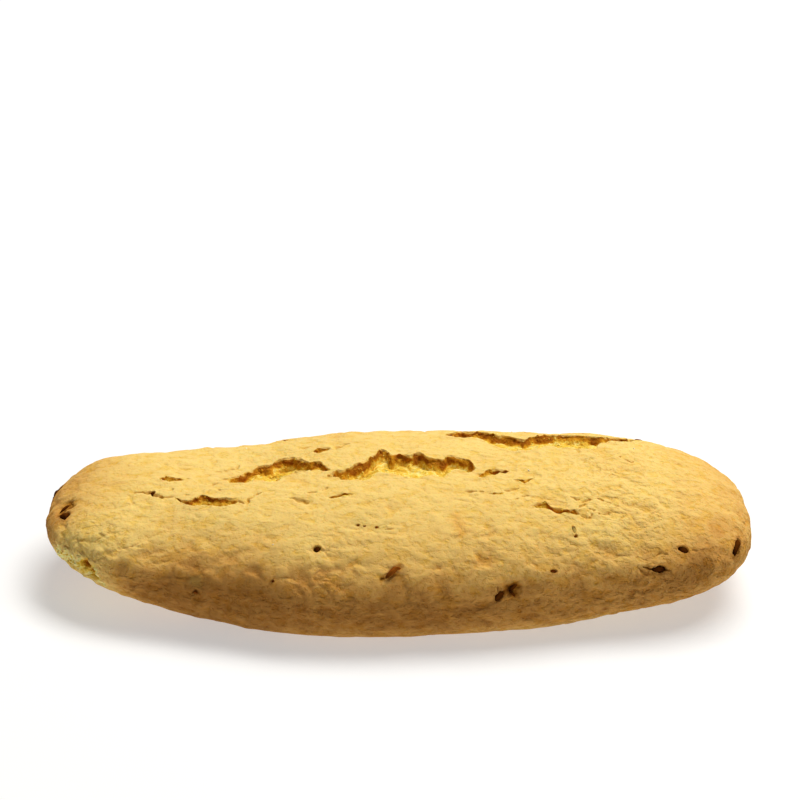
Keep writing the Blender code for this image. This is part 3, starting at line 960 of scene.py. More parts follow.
@dataclass
class Skin:
    """The body's points while its relief is worked into them."""

    smooth: np.ndarray
    normals: np.ndarray
    upper: np.ndarray
    push: np.ndarray = field(init=False)
    shift: np.ndarray = field(init=False)
    # Painted shade in hollows: dimples, folds and round seed pits, added to the bake.
    hollow: np.ndarray = field(init=False)
    marks: dict[Mark, np.ndarray] = field(init=False)

    def __post_init__(self) -> None:
        """Start with no relief and no marks."""
        self.push = np.zeros(len(self.smooth))
        self.hollow = np.zeros(len(self.smooth))
        self.shift = np.zeros((len(self.smooth), 3))
        self.marks = {mark: np.zeros(len(self.smooth)) for mark in Mark}

    def within(self, low: np.ndarray, high: np.ndarray, margin: float) -> np.ndarray:
        """Return the rows of the points inside a box that is widened by margin."""
        inside = (self.smooth > np.asarray(low) - margin) & (self.smooth < np.asarray(high) + margin)
        return np.flatnonzero(inside.all(axis=1))

    def nearest(self, spot: tuple[float, ...]) -> int:
        """Find the point that is closest to a place.

        Args:
            spot: The place in millimetres, measured in plan where it has no height.

        Returns:
            The point's row.
        """
        if len(spot) == 2:
            away = np.hypot(self.smooth[:, 0] - spot[0] * MM, self.smooth[:, 1] - spot[1] * MM)
            return int(np.argmin(np.where(self.upper, away, 1.0)))
        return int(np.argmin(np.linalg.norm(self.smooth - np.array(spot) * MM, axis=1)))

    def patch(self, patch: Patch, waver: float, seed: int) -> np.ndarray:
        """Tell how far each point belongs to a round place.

        Args:
            patch: The round place.
            waver: How much its edge wavers, as a share of its radius.
            seed: Picks how it wavers.

        Returns:
            A share for each point, 1 in the patch's middle and 0 far from it.
        """
        away = np.linalg.norm(self.smooth - np.array(patch.centre) * MM, axis=1)
        away += waver * patch.radius * MM * soft_noise(self.smooth, PATCH_LUMP * patch.radius * MM, seed)
        return gaussian(away, patch.radius * MM)

    def mark(self, mark: Mark, rows: np.ndarray, values: np.ndarray) -> None:
        """Raise a mark to these values where it is lower."""
        self.marks[mark][rows] = np.maximum(self.marks[mark][rows], values)

    def formed(self) -> np.ndarray:
        """Return the points with their relief."""
        return self.smooth + self.normals * self.push[:, None] + self.shift


@dataclass
class CrownSplits:
    """The open splits, each a ragged wall under the far lip and a slope of crumb up to the near one."""

    heights: Station = (9.0 * MM, 30.0 * MM)
    margin: float = 1.2 * MM
    least_gap: float = 0.05 * MM
    tatter: float = 0.40 * MM
    tattered_from: float = 2.4 * MM
    far_tatter: tuple[Noise, ...] = (Noise(1.1, 2.0 * MM, 0), Noise(0.5, 0.6 * MM, 6))
    near_tatter: tuple[Noise, ...] = (Noise(0.8, 1.3 * MM, 1), Noise(0.5, 0.5 * MM, 7))
    lumps: tuple[Noise, ...] = (Noise(0.25, 2.3 * MM, 2), Noise(0.15, 1.1 * MM, 3))
    softening: tuple[Station, ...] = (
        (-0.5, 1 / 9), (-0.25, 2 / 9), (0.0, 3 / 9), (0.25, 2 / 9), (0.5, 1 / 9),
    )
    taper: float = 0.7 * MM
    width_to_depth: float = 0.6
    wall: float = 2.0 * MM
    wall_share: float = 0.52
    wall_power: float = 1.15
    near_slope: float = 0.5 * MM
    far_rise: float = 0.20 * MM
    far_roll: float = 1.1 * MM
    near_rise: float = 0.12 * MM
    near_roll: float = 0.8 * MM
    risen_from: float = 4.0 * MM
    fringe: Noise = Noise(0.22 * MM, 0.7 * MM, 10)
    fringe_band: Station = (-0.05 * MM, 0.20 * MM)
    # The wall under the far lip is browned, partly as painted shade under the overhang: how deep, where and
    # how strongly.
    browning: tuple[Noise, ...] = (Noise(0.42, 1.5 * MM, 4), Noise(0.22, 0.6 * MM, 5))
    browning_band: Station = (0.75, 1.35)
    wall_edge: Noise = Noise(0.35, 1.3 * MM, 11)
    wall_band: Station = (0.25, 1.25)
    toasted: float = 0.92
    toasting: Noise = Noise(0.45, 1.4 * MM, 8)
    specks: Noise = Noise(0.6, 0.8 * MM, 9)
    speck_band: Station = (0.35, 0.75)
    crumb_from: float = 0.01
    crumble: tuple[Noise, ...] = (Noise(0.30, 1.9 * MM, 81), Noise(0.16, 0.7 * MM, 82))
    granules: tuple[Noise, ...] = (Noise(0.22, 1.5 * MM, 84), Noise(0.26, 0.55 * MM, 85))
    granules_face: Triple = (0.0, -0.6, 0.8)
    # Painted shade in the small holes between granules.
    hole_shade: float = 0.30
    hole_edge: float = 0.10

    def open(self, skin: Skin) -> None:
        """Open every split in the skin and roughen its crumb.

        Args:
            skin: The skin to work in.
        """
        for number, split in enumerate(SPLITS):
            self._open_one(skin, split, 10 * (number + 1))
        self._crumble(skin)

    def _open_one(self, skin: Skin, split: Split, seed: int) -> None:
        """Open one split.

        Args:
            skin: The skin to work in.
            split: The split.
            seed: Picks its raggedness.
        """
        near_route, far_route = np.array(split.near) * MM, np.array(split.far) * MM
        start, end = near_route[0, 0], near_route[-1, 0]
        low = np.array([start, near_route[:, 1].min(), self.heights[0]])
        high = np.array([end, far_route[:, 1].max(), self.heights[1]])
        rows = skin.within(low, high, self.margin)
        rows = rows[skin.upper[rows]]
        spot = skin.smooth[rows]
        near, far = self._softened(near_route, spot[:, 0]), self._softened(far_route, spot[:, 0])
        wide = np.maximum(far - near, self.least_gap)
        torn = self.tatter * np.minimum(1.0, wide / self.tattered_from)
        far += torn * layered(self.far_tatter, spot, seed)
        near += torn * layered(self.near_tatter, spot, seed)
        ends = smoothstep(0.0, self.taper, spot[:, 0] - start) * smoothstep(0.0, self.taper, end - spot[:, 0])
        from_near, from_far = spot[:, 1] - near, far - spot[:, 1]
        across = np.clip(from_near / wide, 0.0, 1.0)
        depth = split.depth * MM
        deepest = depth * np.minimum(1.0, wide / (self.width_to_depth * depth))
        deepest = deepest * layered(self.lumps, spot, seed, 1.0)
        wall = np.minimum(self.wall, self.wall_share * wide)
        steep = np.clip(from_far / wall, 0.0, 1.0) ** self.wall_power
        profile = smoothstep(0.0, self.near_slope, from_near)
        profile = profile * (split.lip + (1.0 - split.lip) * across**split.lean)
        sunk = deepest * steep * profile * ends
        skin.shift[rows, 2] -= sunk
        far_lip = gaussian(from_far, self.far_roll) * (from_far < 0)
        near_lip = gaussian(from_near, self.near_roll) * (from_near < 0)
        share = np.minimum(1.0, wide / self.risen_from) * ends
        skin.shift[rows, 2] += (self.far_rise * far_lip + self.near_rise * near_lip) * share
        fringe = np.minimum(from_near, from_far) + self.fringe.at(spot, seed)
        crumb = smoothstep(*self.fringe_band, fringe) * ends
        skin.mark(Mark.CRUMB, rows, crumb)
        formed = spot - UPWARD * sunk[:, None]
        # Browning and painted shade on the wall under the far lip.
        toast = self._toast_and_shade(formed, sunk / (split.toast * MM), from_far / wall, seed)
        speck = smoothstep(*self.speck_band, soft_noise(formed, self.specks.cell, seed + self.specks.pattern))
        toast = np.maximum(toast, self.specks.strength * speck * across)
        skin.mark(Mark.TOAST_AND_SHADE, rows, crumb * np.clip(toast, split.floor, 1.0))

    def _toast_and_shade(self, formed: np.ndarray, under: np.ndarray, out: np.ndarray, seed: int) -> np.ndarray:
        """Brown the wall under the far lip, partly as browning and partly as painted shade under its
        overhang.

        Args:
            formed: Points of the split.
            under: How deep each lies, as a share of how deep the browning goes.
            out: How far each lies from the far lip, as a share of the wall.
            seed: Picks the browning's pattern.

        Returns:
            How toasted each point is.
        """
        under = layered(self.browning, formed, seed, under)
        walled = 1.0 - smoothstep(*self.wall_band, out + self.wall_edge.at(formed, seed))
        toast = self.toasted + self.toasting.at(formed, seed)
        return toast * walled * (1.0 - smoothstep(*self.browning_band, under))

    def _softened(self, route: np.ndarray, x: np.ndarray) -> np.ndarray:
        """Read a lip with its corners softened.

        Args:
            route: The lip's stations in plan.
            x: Where the lip is read.

        Returns:
            The lip's y at each x.
        """
        total = np.zeros(len(x))
        for offset, weight in self.softening:
            total += weight * np.interp(x + offset * MM, route[:, 0], route[:, 1])
        return total

    def _crumble(self, skin: Skin) -> None:
        """Roughen all crumb in every direction, with rounded granules between small holes, and paint shade
        into the holes.

        Args:
            skin: The skin to work in.
        """
        rows = np.flatnonzero(skin.marks[Mark.CRUMB] > self.crumb_from)
        spot = skin.smooth[rows] + skin.shift[rows]
        rough = sum(layer.drift(spot) for layer in self.crumble)
        for layer in self.granules:
            granule = np.minimum(plate_gap(spot, layer.cell, layer.pattern), GRANULE_EDGE)
            rough += (layer.strength * (granule - GRANULE_EDGE / 2))[:, None] * np.array(self.granules_face)
            # Painted shade in the holes.
            hole = self.hole_shade * smoothstep(self.hole_edge, 0.0, granule)
            skin.mark(Mark.TOAST_AND_SHADE, rows, hole * skin.marks[Mark.CRUMB][rows])
        skin.shift[rows] += rough * MM * skin.marks[Mark.CRUMB][rows, None]


@dataclass
class CrustTexture:
    """Lumps, pebbles, soft hollows and folds of the crust, its crumpled parts, and its hairline cracks."""

    turned_to: float = 0.22
    right_end: float = 45.0 * MM
    strength_above: float = 0.62
    strength_on_sides: float = 0.46
    eased_to_right: float = 0.18
    strength_at_foot: float = 0.35
    foot: Station = (0.5 * MM, 5.0 * MM)
    low_band: Station = (0.25, 0.80)
    rough: float = 0.60
    rough_to_right: float = 0.30
    rough_low: float = 1.1
    rough_low_to_right: float = 0.7
    rough_crumpled: float = 0.2
    stretch: Triple = (0.7, 1.0, 1.0)
    waver: Noise = Noise(0.8 * MM, 1.8 * MM, 30)
    lumps: Noise = Noise(0.12, 5.5 * MM, 32)
    pebbles: Noise = Noise(0.24, 2.4 * MM, 31)
    grit: Noise = Noise(0.15, 1.2 * MM, 33)
    dimples: Noise = Noise(0.24, 2.9 * MM, 35)
    dimple_band: Station = (0.20, 0.75)
    folds: Noise = Noise(0.24, 2.6 * MM, 41)
    fold_width: float = 0.16
    folded: Noise = Noise(1.0, 4.0 * MM, 43)
    folded_band: Station = (-0.3, 0.5)
    # How much painted shade the dimples and folds get.
    hollow: float = 0.16
    creases: Noise = Noise(0.16, 1.9 * MM, 42)
    crease_width: float = 0.10
    creased: Noise = Noise(1.0, 2.2 * MM, 44)
    creased_band: Station = (-0.1, 0.4)
    # How much painted shade the crumpled creases get.
    crease_shade_mark: float = 0.30
    crumple_waver: float = 0.4
    crack_margin: float = 1.2 * MM
    crack_waver: Noise = Noise(0.34 * MM, 0.8 * MM, 0)
    crack_tip: float = 0.9 * MM
    crack_tip_width: float = 0.35
    # How deep a crack must be for its painted shade to turn dark, and the darkest it gets.
    crack_shade_power: float = 1.5
    crack_shade_most: float = 0.9

    def work(self, skin: Skin) -> None:
        """Work the whole texture into the skin.

        Args:
            skin: The skin to work in.
        """
        crust = 1.0 - skin.marks[Mark.CRUMB]
        tilt = 1.0 - skin.normals[:, 2]
        crumpled = np.zeros(len(skin.smooth))
        for number, patch in enumerate(CRUMPLED_PATCHES):
            crumpled = np.maximum(crumpled, skin.patch(patch, self.crumple_waver, 90 + number))
        to_right = smoothstep(0.0, self.right_end, skin.smooth[:, 0])
        sides = np.maximum(smoothstep(0.0, self.turned_to, tilt), crumpled)
        strength = self.strength_above + (self.strength_on_sides - self.eased_to_right * to_right) * sides
        foot = smoothstep(*self.foot, skin.smooth[:, 2])
        strength *= self.strength_at_foot + (1.0 - self.strength_at_foot) * foot
        low = smoothstep(*self.low_band, tilt)
        rough = self.rough + self.rough_to_right * to_right + self.rough_crumpled * crumpled
        rough = rough + (self.rough_low + self.rough_low_to_right * to_right) * low
        skin.mark(Mark.ROUGH, slice(None), rough)
        stretched = skin.smooth * np.array(self.stretch)
        wavering = stretched + self.waver.drift(stretched)
        dimple = smoothstep(*self.dimple_band, soft_noise(wavering, self.dimples.cell, self.dimples.pattern))
        fold = gaussian(plate_gap(wavering, self.folds.cell, self.folds.pattern), self.fold_width)
        fold *= smoothstep(*self.folded_band, self.folded.at(skin.smooth))
        relief = self.pebbles.at(wavering) + self.grit.at(stretched)
        relief = relief - self.dimples.strength * dimple - self.folds.strength * fold
        # Painted shade: the dimples and folds are coloured browner.
        skin.hollow += strength * crust * (self.hollow * dimple + self.hollow * fold)
        crease = gaussian(plate_gap(wavering, self.creases.cell, self.creases.pattern), self.crease_width)
        crease *= crumpled * smoothstep(*self.creased_band, self.creased.at(wavering))
        push = self.lumps.at(stretched) + strength * relief - self.creases.strength * crease
        skin.push += MM * push * crust
        # Painted shade along the crumpled creases.
        skin.mark(Mark.CREVICE_SHADE, slice(None), self.crease_shade_mark * crease * crust)
        for number, slit in enumerate(SLITS):
            self._cut(skin, slit, 200 + number)

    def _cut(self, skin: Skin, slit: Slit, seed: int) -> None:
        """Cut one hairline crack along its route on the skin.

        Args:
            skin: The skin to work in.
            slit: The crack.
            seed: Picks how it wavers.
        """
        route = skin.smooth[[skin.nearest(spot) for spot in slit.route]]
        rows = skin.within(route.min(axis=0), route.max(axis=0), self.crack_margin)
        spot = skin.smooth[rows] + self.crack_waver.drift(skin.smooth[rows], seed)
        closest = np.min([segment_gap(spot, *run) for run in zip(route[:-1], route[1:])], axis=0)
        tips = np.min([np.linalg.norm(spot - tip, axis=1) for tip in (route[0], route[-1])], axis=0)
        open_share = smoothstep(0.0, self.crack_tip, tips)
        width = slit.width * MM * (self.crack_tip_width + (1.0 - self.crack_tip_width) * open_share)
        gap = gaussian(closest, width)
        crust = 1.0 - skin.marks[Mark.CRUMB][rows]
        skin.push[rows] -= slit.depth * MM * gap * crust
        # Painted shade in the crack, darker the deeper it is.
        dark = min(self.crack_shade_most, slit.depth**self.crack_shade_power)
        skin.mark(Mark.CREVICE_SHADE, rows, dark * gap * crust)


@dataclass
class SeedBeds:
    """The pits that the seeds lie in, and where the seeds over the back are drawn."""

    clearance: float = 0.06 * MM
    back_span: float = 54.0
    back_step: Station = (0.2, 0.8)
    back_reach: Station = (0.72, 0.93)
    back_half: Station = (0.9, 1.7)
    back_width: Station = (0.9, 1.3)
    back_sunk: Station = (0.2, 0.45)
    margin: float = 1.5 * MM
    unevenness: tuple[Noise, ...] = (Noise(0.28, 0.8 * MM, 0), Noise(0.14, 0.35 * MM, 50))
    pit_band: Station = (0.75, 1.10)
    pit_depth: float = 0.25
    rim_at: float = 1.35
    rim_width: float = 0.25
    rim_rise: float = 0.06
    # A ring of painted shade round the pit's edge: where it lies and how strong it is.
    pit_edge_shade_at: float = 1.15
    pit_edge_shade: float = 0.25
    # Painted shade in each seed's pit, by tone: darkest for dark seeds.
    dark: tuple[float, ...] = (0.85, 0.38, 0.10)

    def seeds(self) -> tuple[Seed, ...]:
        """List the seeds that show in front, and as sparse ones over the back.

        Returns:
            Every seed, the front ones first.
        """
        draw = random.Random(RANDOM_SEED)
        behind = []
        for number in range(BACK_SEEDS):
            step = (number + draw.uniform(*self.back_step)) / BACK_SEEDS
            x = -self.back_span + 2 * self.back_span * step
            reach = HALF_WIDTH * math.sqrt(1.0 - (x / HALF_LENGTH) ** 2)
            y = reach * draw.uniform(*self.back_reach)
            heading, half = draw.uniform(-math.pi / 2, math.pi / 2), draw.uniform(*self.back_half)
            step_x, step_y = half * math.cos(heading), half * math.sin(heading)
            ends = ((x - step_x, y - step_y), (x + step_x, y + step_y))
            width, sunk = draw.uniform(*self.back_width), draw.uniform(*self.back_sunk)
            behind.append(Seed(*ends, width, sunk, draw.choice((Tone.DARK, Tone.BROWN))))
        return FRONT_SEEDS + tuple(behind)

    def sink(self, skin: Skin) -> list[Bed]:
        """Sink a pit for every seed and return where the seeds lie."""
        return [self._sink_one(skin, seed, 300 + number) for number, seed in enumerate(self.seeds())]

    def _sink_one(self, skin: Skin, seed: Seed, pattern: int) -> Bed:
        """Sink one pit with a slightly raised and uneven rim, with painted shade in it and around its edge.

        Args:
            skin: The skin to work in.
            seed: The seed.
            pattern: Picks the rim's unevenness.

        Returns:
            The seed's bed.
        """
        first, last = skin.smooth[skin.nearest(seed.thin_end)], skin.smooth[skin.nearest(seed.thick_end)]
        row = skin.nearest(tuple((first + last) / 2 / MM))
        place, outward = skin.smooth[row], skin.normals[row]
        length = float(np.linalg.norm(last - first))
        along = last - first - outward * ((last - first) @ outward)
        along /= np.linalg.norm(along)
        across = np.cross(outward, along)
        rows = skin.within(place, place, length / 2 + self.margin)
        spot = skin.smooth[rows]
        a = ((spot - place) @ along) / (length / 2 + self.clearance)
        b = ((spot - place) @ across) / (seed.width / 2 * MM + self.clearance)
        ring = layered(self.unevenness, spot, pattern, np.sqrt(a**2 + b**2))
        pit = 1.0 - smoothstep(*self.pit_band, ring)
        rim = gaussian(ring - self.rim_at, self.rim_width)
        depth = seed.sunk + self.pit_depth * seed.width
        skin.push[rows] += MM * (self.rim_rise * rim - depth * pit)
        # Painted shade in the pit around the seed.
        skin.mark(Mark.CREVICE_SHADE, rows, self.dark[list(Tone).index(seed.tone)] * pit)
        # Painted shade round the pit's edge, added to the crust's hollow darkening.
        skin.hollow[rows] += self.pit_edge_shade * gaussian(ring - self.pit_edge_shade_at, self.rim_width)
        return Bed(seed, place - outward * seed.sunk * MM, length, along, across, outward)


@dataclass
class TornCorner:
    """The left end's front corner, torn open to rough crumb."""

    ragged: tuple[Noise, ...] = (Noise(0.7 * MM, 1.2 * MM, 51), Noise(0.4 * MM, 0.5 * MM, 57))
    edge_band: Station = (0.62, 1.0)
    rough: tuple[Noise, ...] = (Noise(0.26, 1.1 * MM, 52), Noise(0.26, 0.5 * MM, 53))
    granules: Noise = Noise(0.35, 0.6 * MM, 54)
    set_back: float = 0.35
    # Painted shade in the gaps between the torn crumb's granules.
    gap_shade: float = 0.5
    gap_edge: float = 0.12
    hole_depth: float = 1.2 * MM
    hole_waver: float = 0.5
    hole_crumb: float = 2.5
    # Painted shade in the torn holes.
    hole_shade: float = 1.25

    def tear(self, skin: Skin) -> None:
        """Tear the corner open, with painted shade between its granules and in its holes.

        Args:
            skin: The skin to work in.
        """
        torn = np.zeros(len(skin.smooth))
        ragged = layered(self.ragged, skin.smooth)
        for patch in TORN_CORNER:
            away = np.linalg.norm(skin.smooth - np.array(patch.centre) * MM, axis=1) + ragged
            torn = np.maximum(torn, 1.0 - smoothstep(*self.edge_band, away / (patch.radius * MM)))
        skin.mark(Mark.CRUMB, slice(None), torn)
        rows = np.flatnonzero(torn > 0)
        spot = skin.smooth[rows]
        granule = np.minimum(plate_gap(spot, self.granules.cell, self.granules.pattern), GRANULE_EDGE)
        rough = layered(self.rough, spot) + self.granules.strength * granule
        skin.push[rows] += MM * torn[rows] * (rough - self.set_back)
        # Painted shade in the gaps.
        gaps = self.gap_shade * smoothstep(self.gap_edge, 0.0, granule)
        skin.mark(Mark.TOAST_AND_SHADE, rows, torn[rows] * gaps)
        for number, hole in enumerate(TORN_HOLES):
            gap = skin.patch(hole, self.hole_waver, 55 + number)
            skin.push -= self.hole_depth * gap
            skin.mark(Mark.CRUMB, slice(None), np.minimum(1.0, self.hole_crumb * gap))
            # Painted shade in the hole.
            skin.mark(Mark.TOAST_AND_SHADE, slice(None), np.minimum(1.0, self.hole_shade * gap))


@dataclass
class BakeLightAndShade:
    """How far each part of the crust has baked, with painted light and shade, and where it is stained or
    tinted olive.
    """

    right_band: Station = (-15.0 * MM, 45.0 * MM)
    ends_band: Station = (0.68, 0.98)
    rim_band: Station = (1.0 * MM, 7.0 * MM)
    # How the bake rises as the skin turns down the sides: partly browning, partly painted shade on sides
    # turned from the light above.
    side_power: float = 0.78
    # Painted light: the sides bake less towards the right, as though more light fell there.
    right_painted_light: float = 0.22
    ends_ease: float = 0.58
    ends_heat: float = 0.45
    # Painted light: the foot of the sides is paler, as light thrown up from the floor, more so on the right.
    rim_painted_bounce: float = 0.32
    rim_painted_bounce_right: float = 0.12
    blotches: tuple[Noise, ...] = (Noise(0.06, 14.0 * MM, 71), Noise(0.04, 4.0 * MM, 72))
    patch_waver: float = 0.3
    # How much the browner patches darken, partly as painted shade, and how much the paler patches pale, as
    # painted light.
    tanned_and_shaded: float = 0.22
    lightened: float = 0.14
    stain_waver: float = 0.5
    stained: float = 0.85
    olive: float = 0.30

    def bake(self, skin: Skin) -> None:
        """Mark the skin.

        Args:
            skin: The skin to mark.
        """
        x, height = skin.smooth[:, 0], skin.smooth[:, 2]
        turned = np.clip(1.0 - skin.normals[:, 2], 0.0, 1.0)
        to_right = smoothstep(*self.right_band, x)
        ends = smoothstep(*self.ends_band, np.abs(x) / (HALF_LENGTH * MM))
        rim = 1.0 - smoothstep(*self.rim_band, height)
        # Browner as the skin turns down the sides, partly as browning and partly as painted shade; less so on
        # the right and at the ends.
        bake = (1.0 - self.right_painted_light * to_right - self.ends_ease * ends) * turned**self.side_power
        # Browner towards the ends; paler at the foot as painted bounce light.
        bake = bake + self.ends_heat * ends - (self.rim_painted_bounce + self.rim_painted_bounce_right * to_right) * rim
        bake += layered(self.blotches, skin.smooth)
        # Painted light on the torn corner.
        bake -= skin.patch(LIT_CORNER, self.patch_waver, 74)
        # Browner patches, partly painted shade.
        for number, patch in enumerate(TANNED_AND_SHADED_PATCHES):
            bake += self.tanned_and_shaded * skin.patch(patch, self.patch_waver, 86 + number)
        # Painted light in the paler patches.
        for number, patch in enumerate(LIT_PATCHES):
            bake -= self.lightened * skin.patch(patch, self.patch_waver, 96 + number)
        # The painted shade of the hollows goes into the bake.
        skin.marks[Mark.BAKE] = np.clip(bake + skin.hollow, 0.0, 1.0)
        tints = ((Mark.STAIN, STAINS, 73, self.stained), (Mark.OLIVE, OLIVE_PATCHES, 76, self.olive))
        for mark, patches, seed, strength in tints:
            for number, patch in enumerate(patches):
                share = skin.patch(patch, self.stain_waver, seed + number)
                skin.mark(mark, slice(None), strength * share)


@dataclass
class CookieBody:
    """The cookie's one body: crust and crumb in a single closed mesh."""

    half_length: float = HALF_LENGTH * MM
    half_width: float = HALF_WIDTH * MM
    crown_height: float = 22.0 * MM
    girth_height: float = 8.5 * MM
    end_lift: float = 4.0 * MM
    plan_powers: Station = (2.22, 2.53)
    dome_power: float = 2.3
    base_power: float = 2.2
    base_spread: float = 0.8
    crown_slope: float = 0.12
    lift_starts: float = 0.45
    lift_fade: float = 0.75
    core_reach: float = 0.8
    unevenness: Noise = Noise(0.22 * MM, 9.0 * MM, 3)
    cells: tuple[int, int, int] = (82, 37, 18)
    open_crumb: float = 0.5
    fine_reach: float = 0.8 * MM
    fine_above: float = 7.5 * MM
    wall_outside: float = 0.3 * MM
    wall_below: float = 1.1 * MM
    island_spread: float = 6.5 * MM
    under_spread: float = 4.0 * MM
    seam_height: float = 5.0 * MM
    island_margin: float = 10.0 * MM
    island_centre: Station = (0.5, 0.73)
    under_centre: Station = (0.5, 0.22)
    finish: CrustFinish = field(default_factory=CrustFinish)
    triangles: int = 192000
    lay: np.ndarray = field(default_factory=lambda: np.zeros(3))
    beds: list[Bed] = field(default_factory=list)
    formed: np.ndarray | None = None
    crumby: np.ndarray | None = None
    # The crumb's toast mark: browning with painted shade.
    toasted: np.ndarray | None = None

    def build(self) -> bpy.types.Object:
        """Model, mark, thin, unwrap and dress the body.

        Returns:
            The finished piece.
        """
        obj = self._grid()
        self._refine(obj)
        upper = read_points(obj.data)[:, 2] > 0
        smooth = self._smooth(obj.data)
        write_points(obj.data, smooth)
        normals = np.empty(smooth.size)
        obj.data.vertex_normals.foreach_get("vector", normals)
        skin = Skin(smooth, normals.reshape(-1, 3), upper)
        CrownSplits().open(skin)
        CrustTexture().work(skin)
        self.beds = SeedBeds().sink(skin)
        TornCorner().tear(skin)
        BakeLightAndShade().bake(skin)
        points = skin.formed()
        points[:, 2] = np.maximum(points[:, 2], 0.0)
        write_points(obj.data, points)
        for mark, values in skin.marks.items():
            keep_values(obj.data, mark.value, values)
        self._settle(obj.data)
        self.formed = read_points(obj.data)
        self.crumby, self.toasted = skin.marks[Mark.CRUMB], skin.marks[Mark.TOAST_AND_SHADE]
        self._thin(obj)
        self._unwrap(obj.data)
        obj.data.shade_smooth()
        obj.data.materials.append(self.finish.build())
        return obj

    def crumb_places(self, count: int, draw: np.random.Generator) -> list[tuple[np.ndarray, float]]:
        """Return drawn places on the open crumb, and the toast mark there: browning with painted shade."""
        rows = draw.choice(np.flatnonzero(self.crumby > self.open_crumb), count, replace=False)
        return [(self.formed[row], float(self.toasted[row])) for row in rows]

    def skin_point(self, spot: Triple) -> np.ndarray:
        """Return the finished skin's point that is closest to a place in millimetres."""
        away = np.linalg.norm(self.formed - self.lay - np.array(spot) * MM, axis=1)
        return self.formed[int(np.argmin(away))]

    def _grid(self) -> bpy.types.Object:
        """Cut a cube into an even grid on every side.

        Returns:
            The cube.
        """
        bpy.ops.mesh.primitive_cube_add(size=2.0)
        obj = bpy.context.object
        obj.name = "cookie_crust"
        for axis, count in enumerate(self.cells):
            subdivide_along(obj, axis, count)
        apply_modifier(obj, "SUBSURF", subdivision_type="SIMPLE", levels=2, render_levels=2)
        return obj

    def _refine(self, obj: bpy.types.Object) -> None:
        """Cut the grid finer where splits, slits and seeds mark it, and once more at the splits' walls.

        Args:
            obj: The body as a grid.
        """
        smooth = self._smooth(obj.data)
        fine = self._beside_splits(smooth, self.fine_reach, np.inf)
        upper = smooth[:, 2] > self.fine_above
        routes = [slit.route for slit in SLITS] + [(seed.thin_end, seed.thick_end) for seed in FRONT_SEEDS]
        for route in (np.array(route) * MM for route in routes):
            places = smooth[:, : route.shape[1]]
            for run in zip(route[:-1], route[1:]):
                fine |= upper & (segment_gap(places, *run) < self.fine_reach)
        self._cut_faces(obj, fine, 2)
        smooth = self._smooth(obj.data)
        self._cut_faces(obj, self._beside_splits(smooth, self.wall_outside, self.wall_below), 1)

    def _smooth(self, mesh: bpy.types.Mesh) -> np.ndarray:
        """Lay a cube's grid out as the body, before anything marks it.

        Args:
            mesh: The cube's mesh.

        Returns:
            The body's points, one row each.
        """
        even = np.tan(read_points(mesh) * math.pi / 4)
        return self._swollen(self._loaf(even / np.linalg.norm(even, axis=1)[:, None]))

    def _beside_splits(self, points: np.ndarray, outside: float, below: float) -> np.ndarray:
        """Tell which points lie in a split.

        Args:
            points: The smooth body's points.
            outside: How far beyond a lip still counts.
            below: How far inside the far lip still counts.

        Returns:
            True for each point that counts.
        """
        chosen = np.zeros(len(points), dtype=bool)
        for split in SPLITS:
            near_route, far_route = np.array(split.near) * MM, np.array(split.far) * MM
            near = np.interp(points[:, 0], near_route[:, 0], near_route[:, 1], left=1.0, right=1.0)
            far = np.interp(points[:, 0], far_route[:, 0], far_route[:, 1], left=-1.0, right=-1.0)
            between = (points[:, 1] > near - outside) & (points[:, 1] < far + outside)
            chosen |= between & (far - points[:, 1] < below) & (points[:, 2] > self.girth_height)
        return chosen

    def _cut_faces(self, obj: bpy.types.Object, marked: np.ndarray, cuts: int) -> None:
        """Subdivide the faces that have a marked corner.

        Args:
            obj: The body as a grid.
            marked: True for each marked point.
            cuts: Cuts in each edge.
        """
        mesh = obj.data
        corners = np.empty(len(mesh.loops), dtype=np.int64)
        starts = np.empty(len(mesh.polygons), dtype=np.int64)
        mesh.loops.foreach_get("vertex_index", corners)
        mesh.polygons.foreach_get("loop_start", starts)
        select_faces(obj, np.logical_or.reduceat(marked[corners], starts))
        bpy.ops.object.mode_set(mode="EDIT")
        bpy.ops.mesh.subdivide(number_cuts=cuts)
        bpy.ops.object.mode_set(mode="OBJECT")

    def _loaf(self, unit: np.ndarray) -> np.ndarray:
        """Lay unit directions out as the uneven loaf, before anything marks it.

        Args:
            unit: Unit directions, one row each.

        Returns:
            The loaf's points, one row each.
        """
        across = np.hypot(unit[:, 0], unit[:, 1])
        across = np.maximum(across, 1e-9)
        cosine, sine = unit[:, 0] / across, unit[:, 1] / across
        power = np.where(cosine < 0, *self.plan_powers)
        upper = unit[:, 2] > 0
        bend = np.where(upper, 2 / self.dome_power, 2 / self.base_power)
        reach = across**bend
        x = self.half_length * np.sign(cosine) * np.abs(cosine) ** (2 / power) * reach
        y = self.half_width * np.sign(sine) * np.abs(sine) ** (2 / power) * reach
        along = x / self.half_length
        steep = np.abs(unit[:, 2])
        rise = (self.crown_height * (1 + self.crown_slope * along) - self.girth_height) * steep**bend
        fall = self.girth_height * np.sin(math.pi / 2 * np.minimum(1.0, steep / self.base_spread))
        z = self.girth_height + np.where(upper, rise, -fall)
        lift = self.end_lift * smoothstep(self.lift_starts, 1.0, np.abs(along))
        z += lift * (1 - self.lift_fade * z / self.crown_height)
        return np.stack([x, y, z], axis=1)

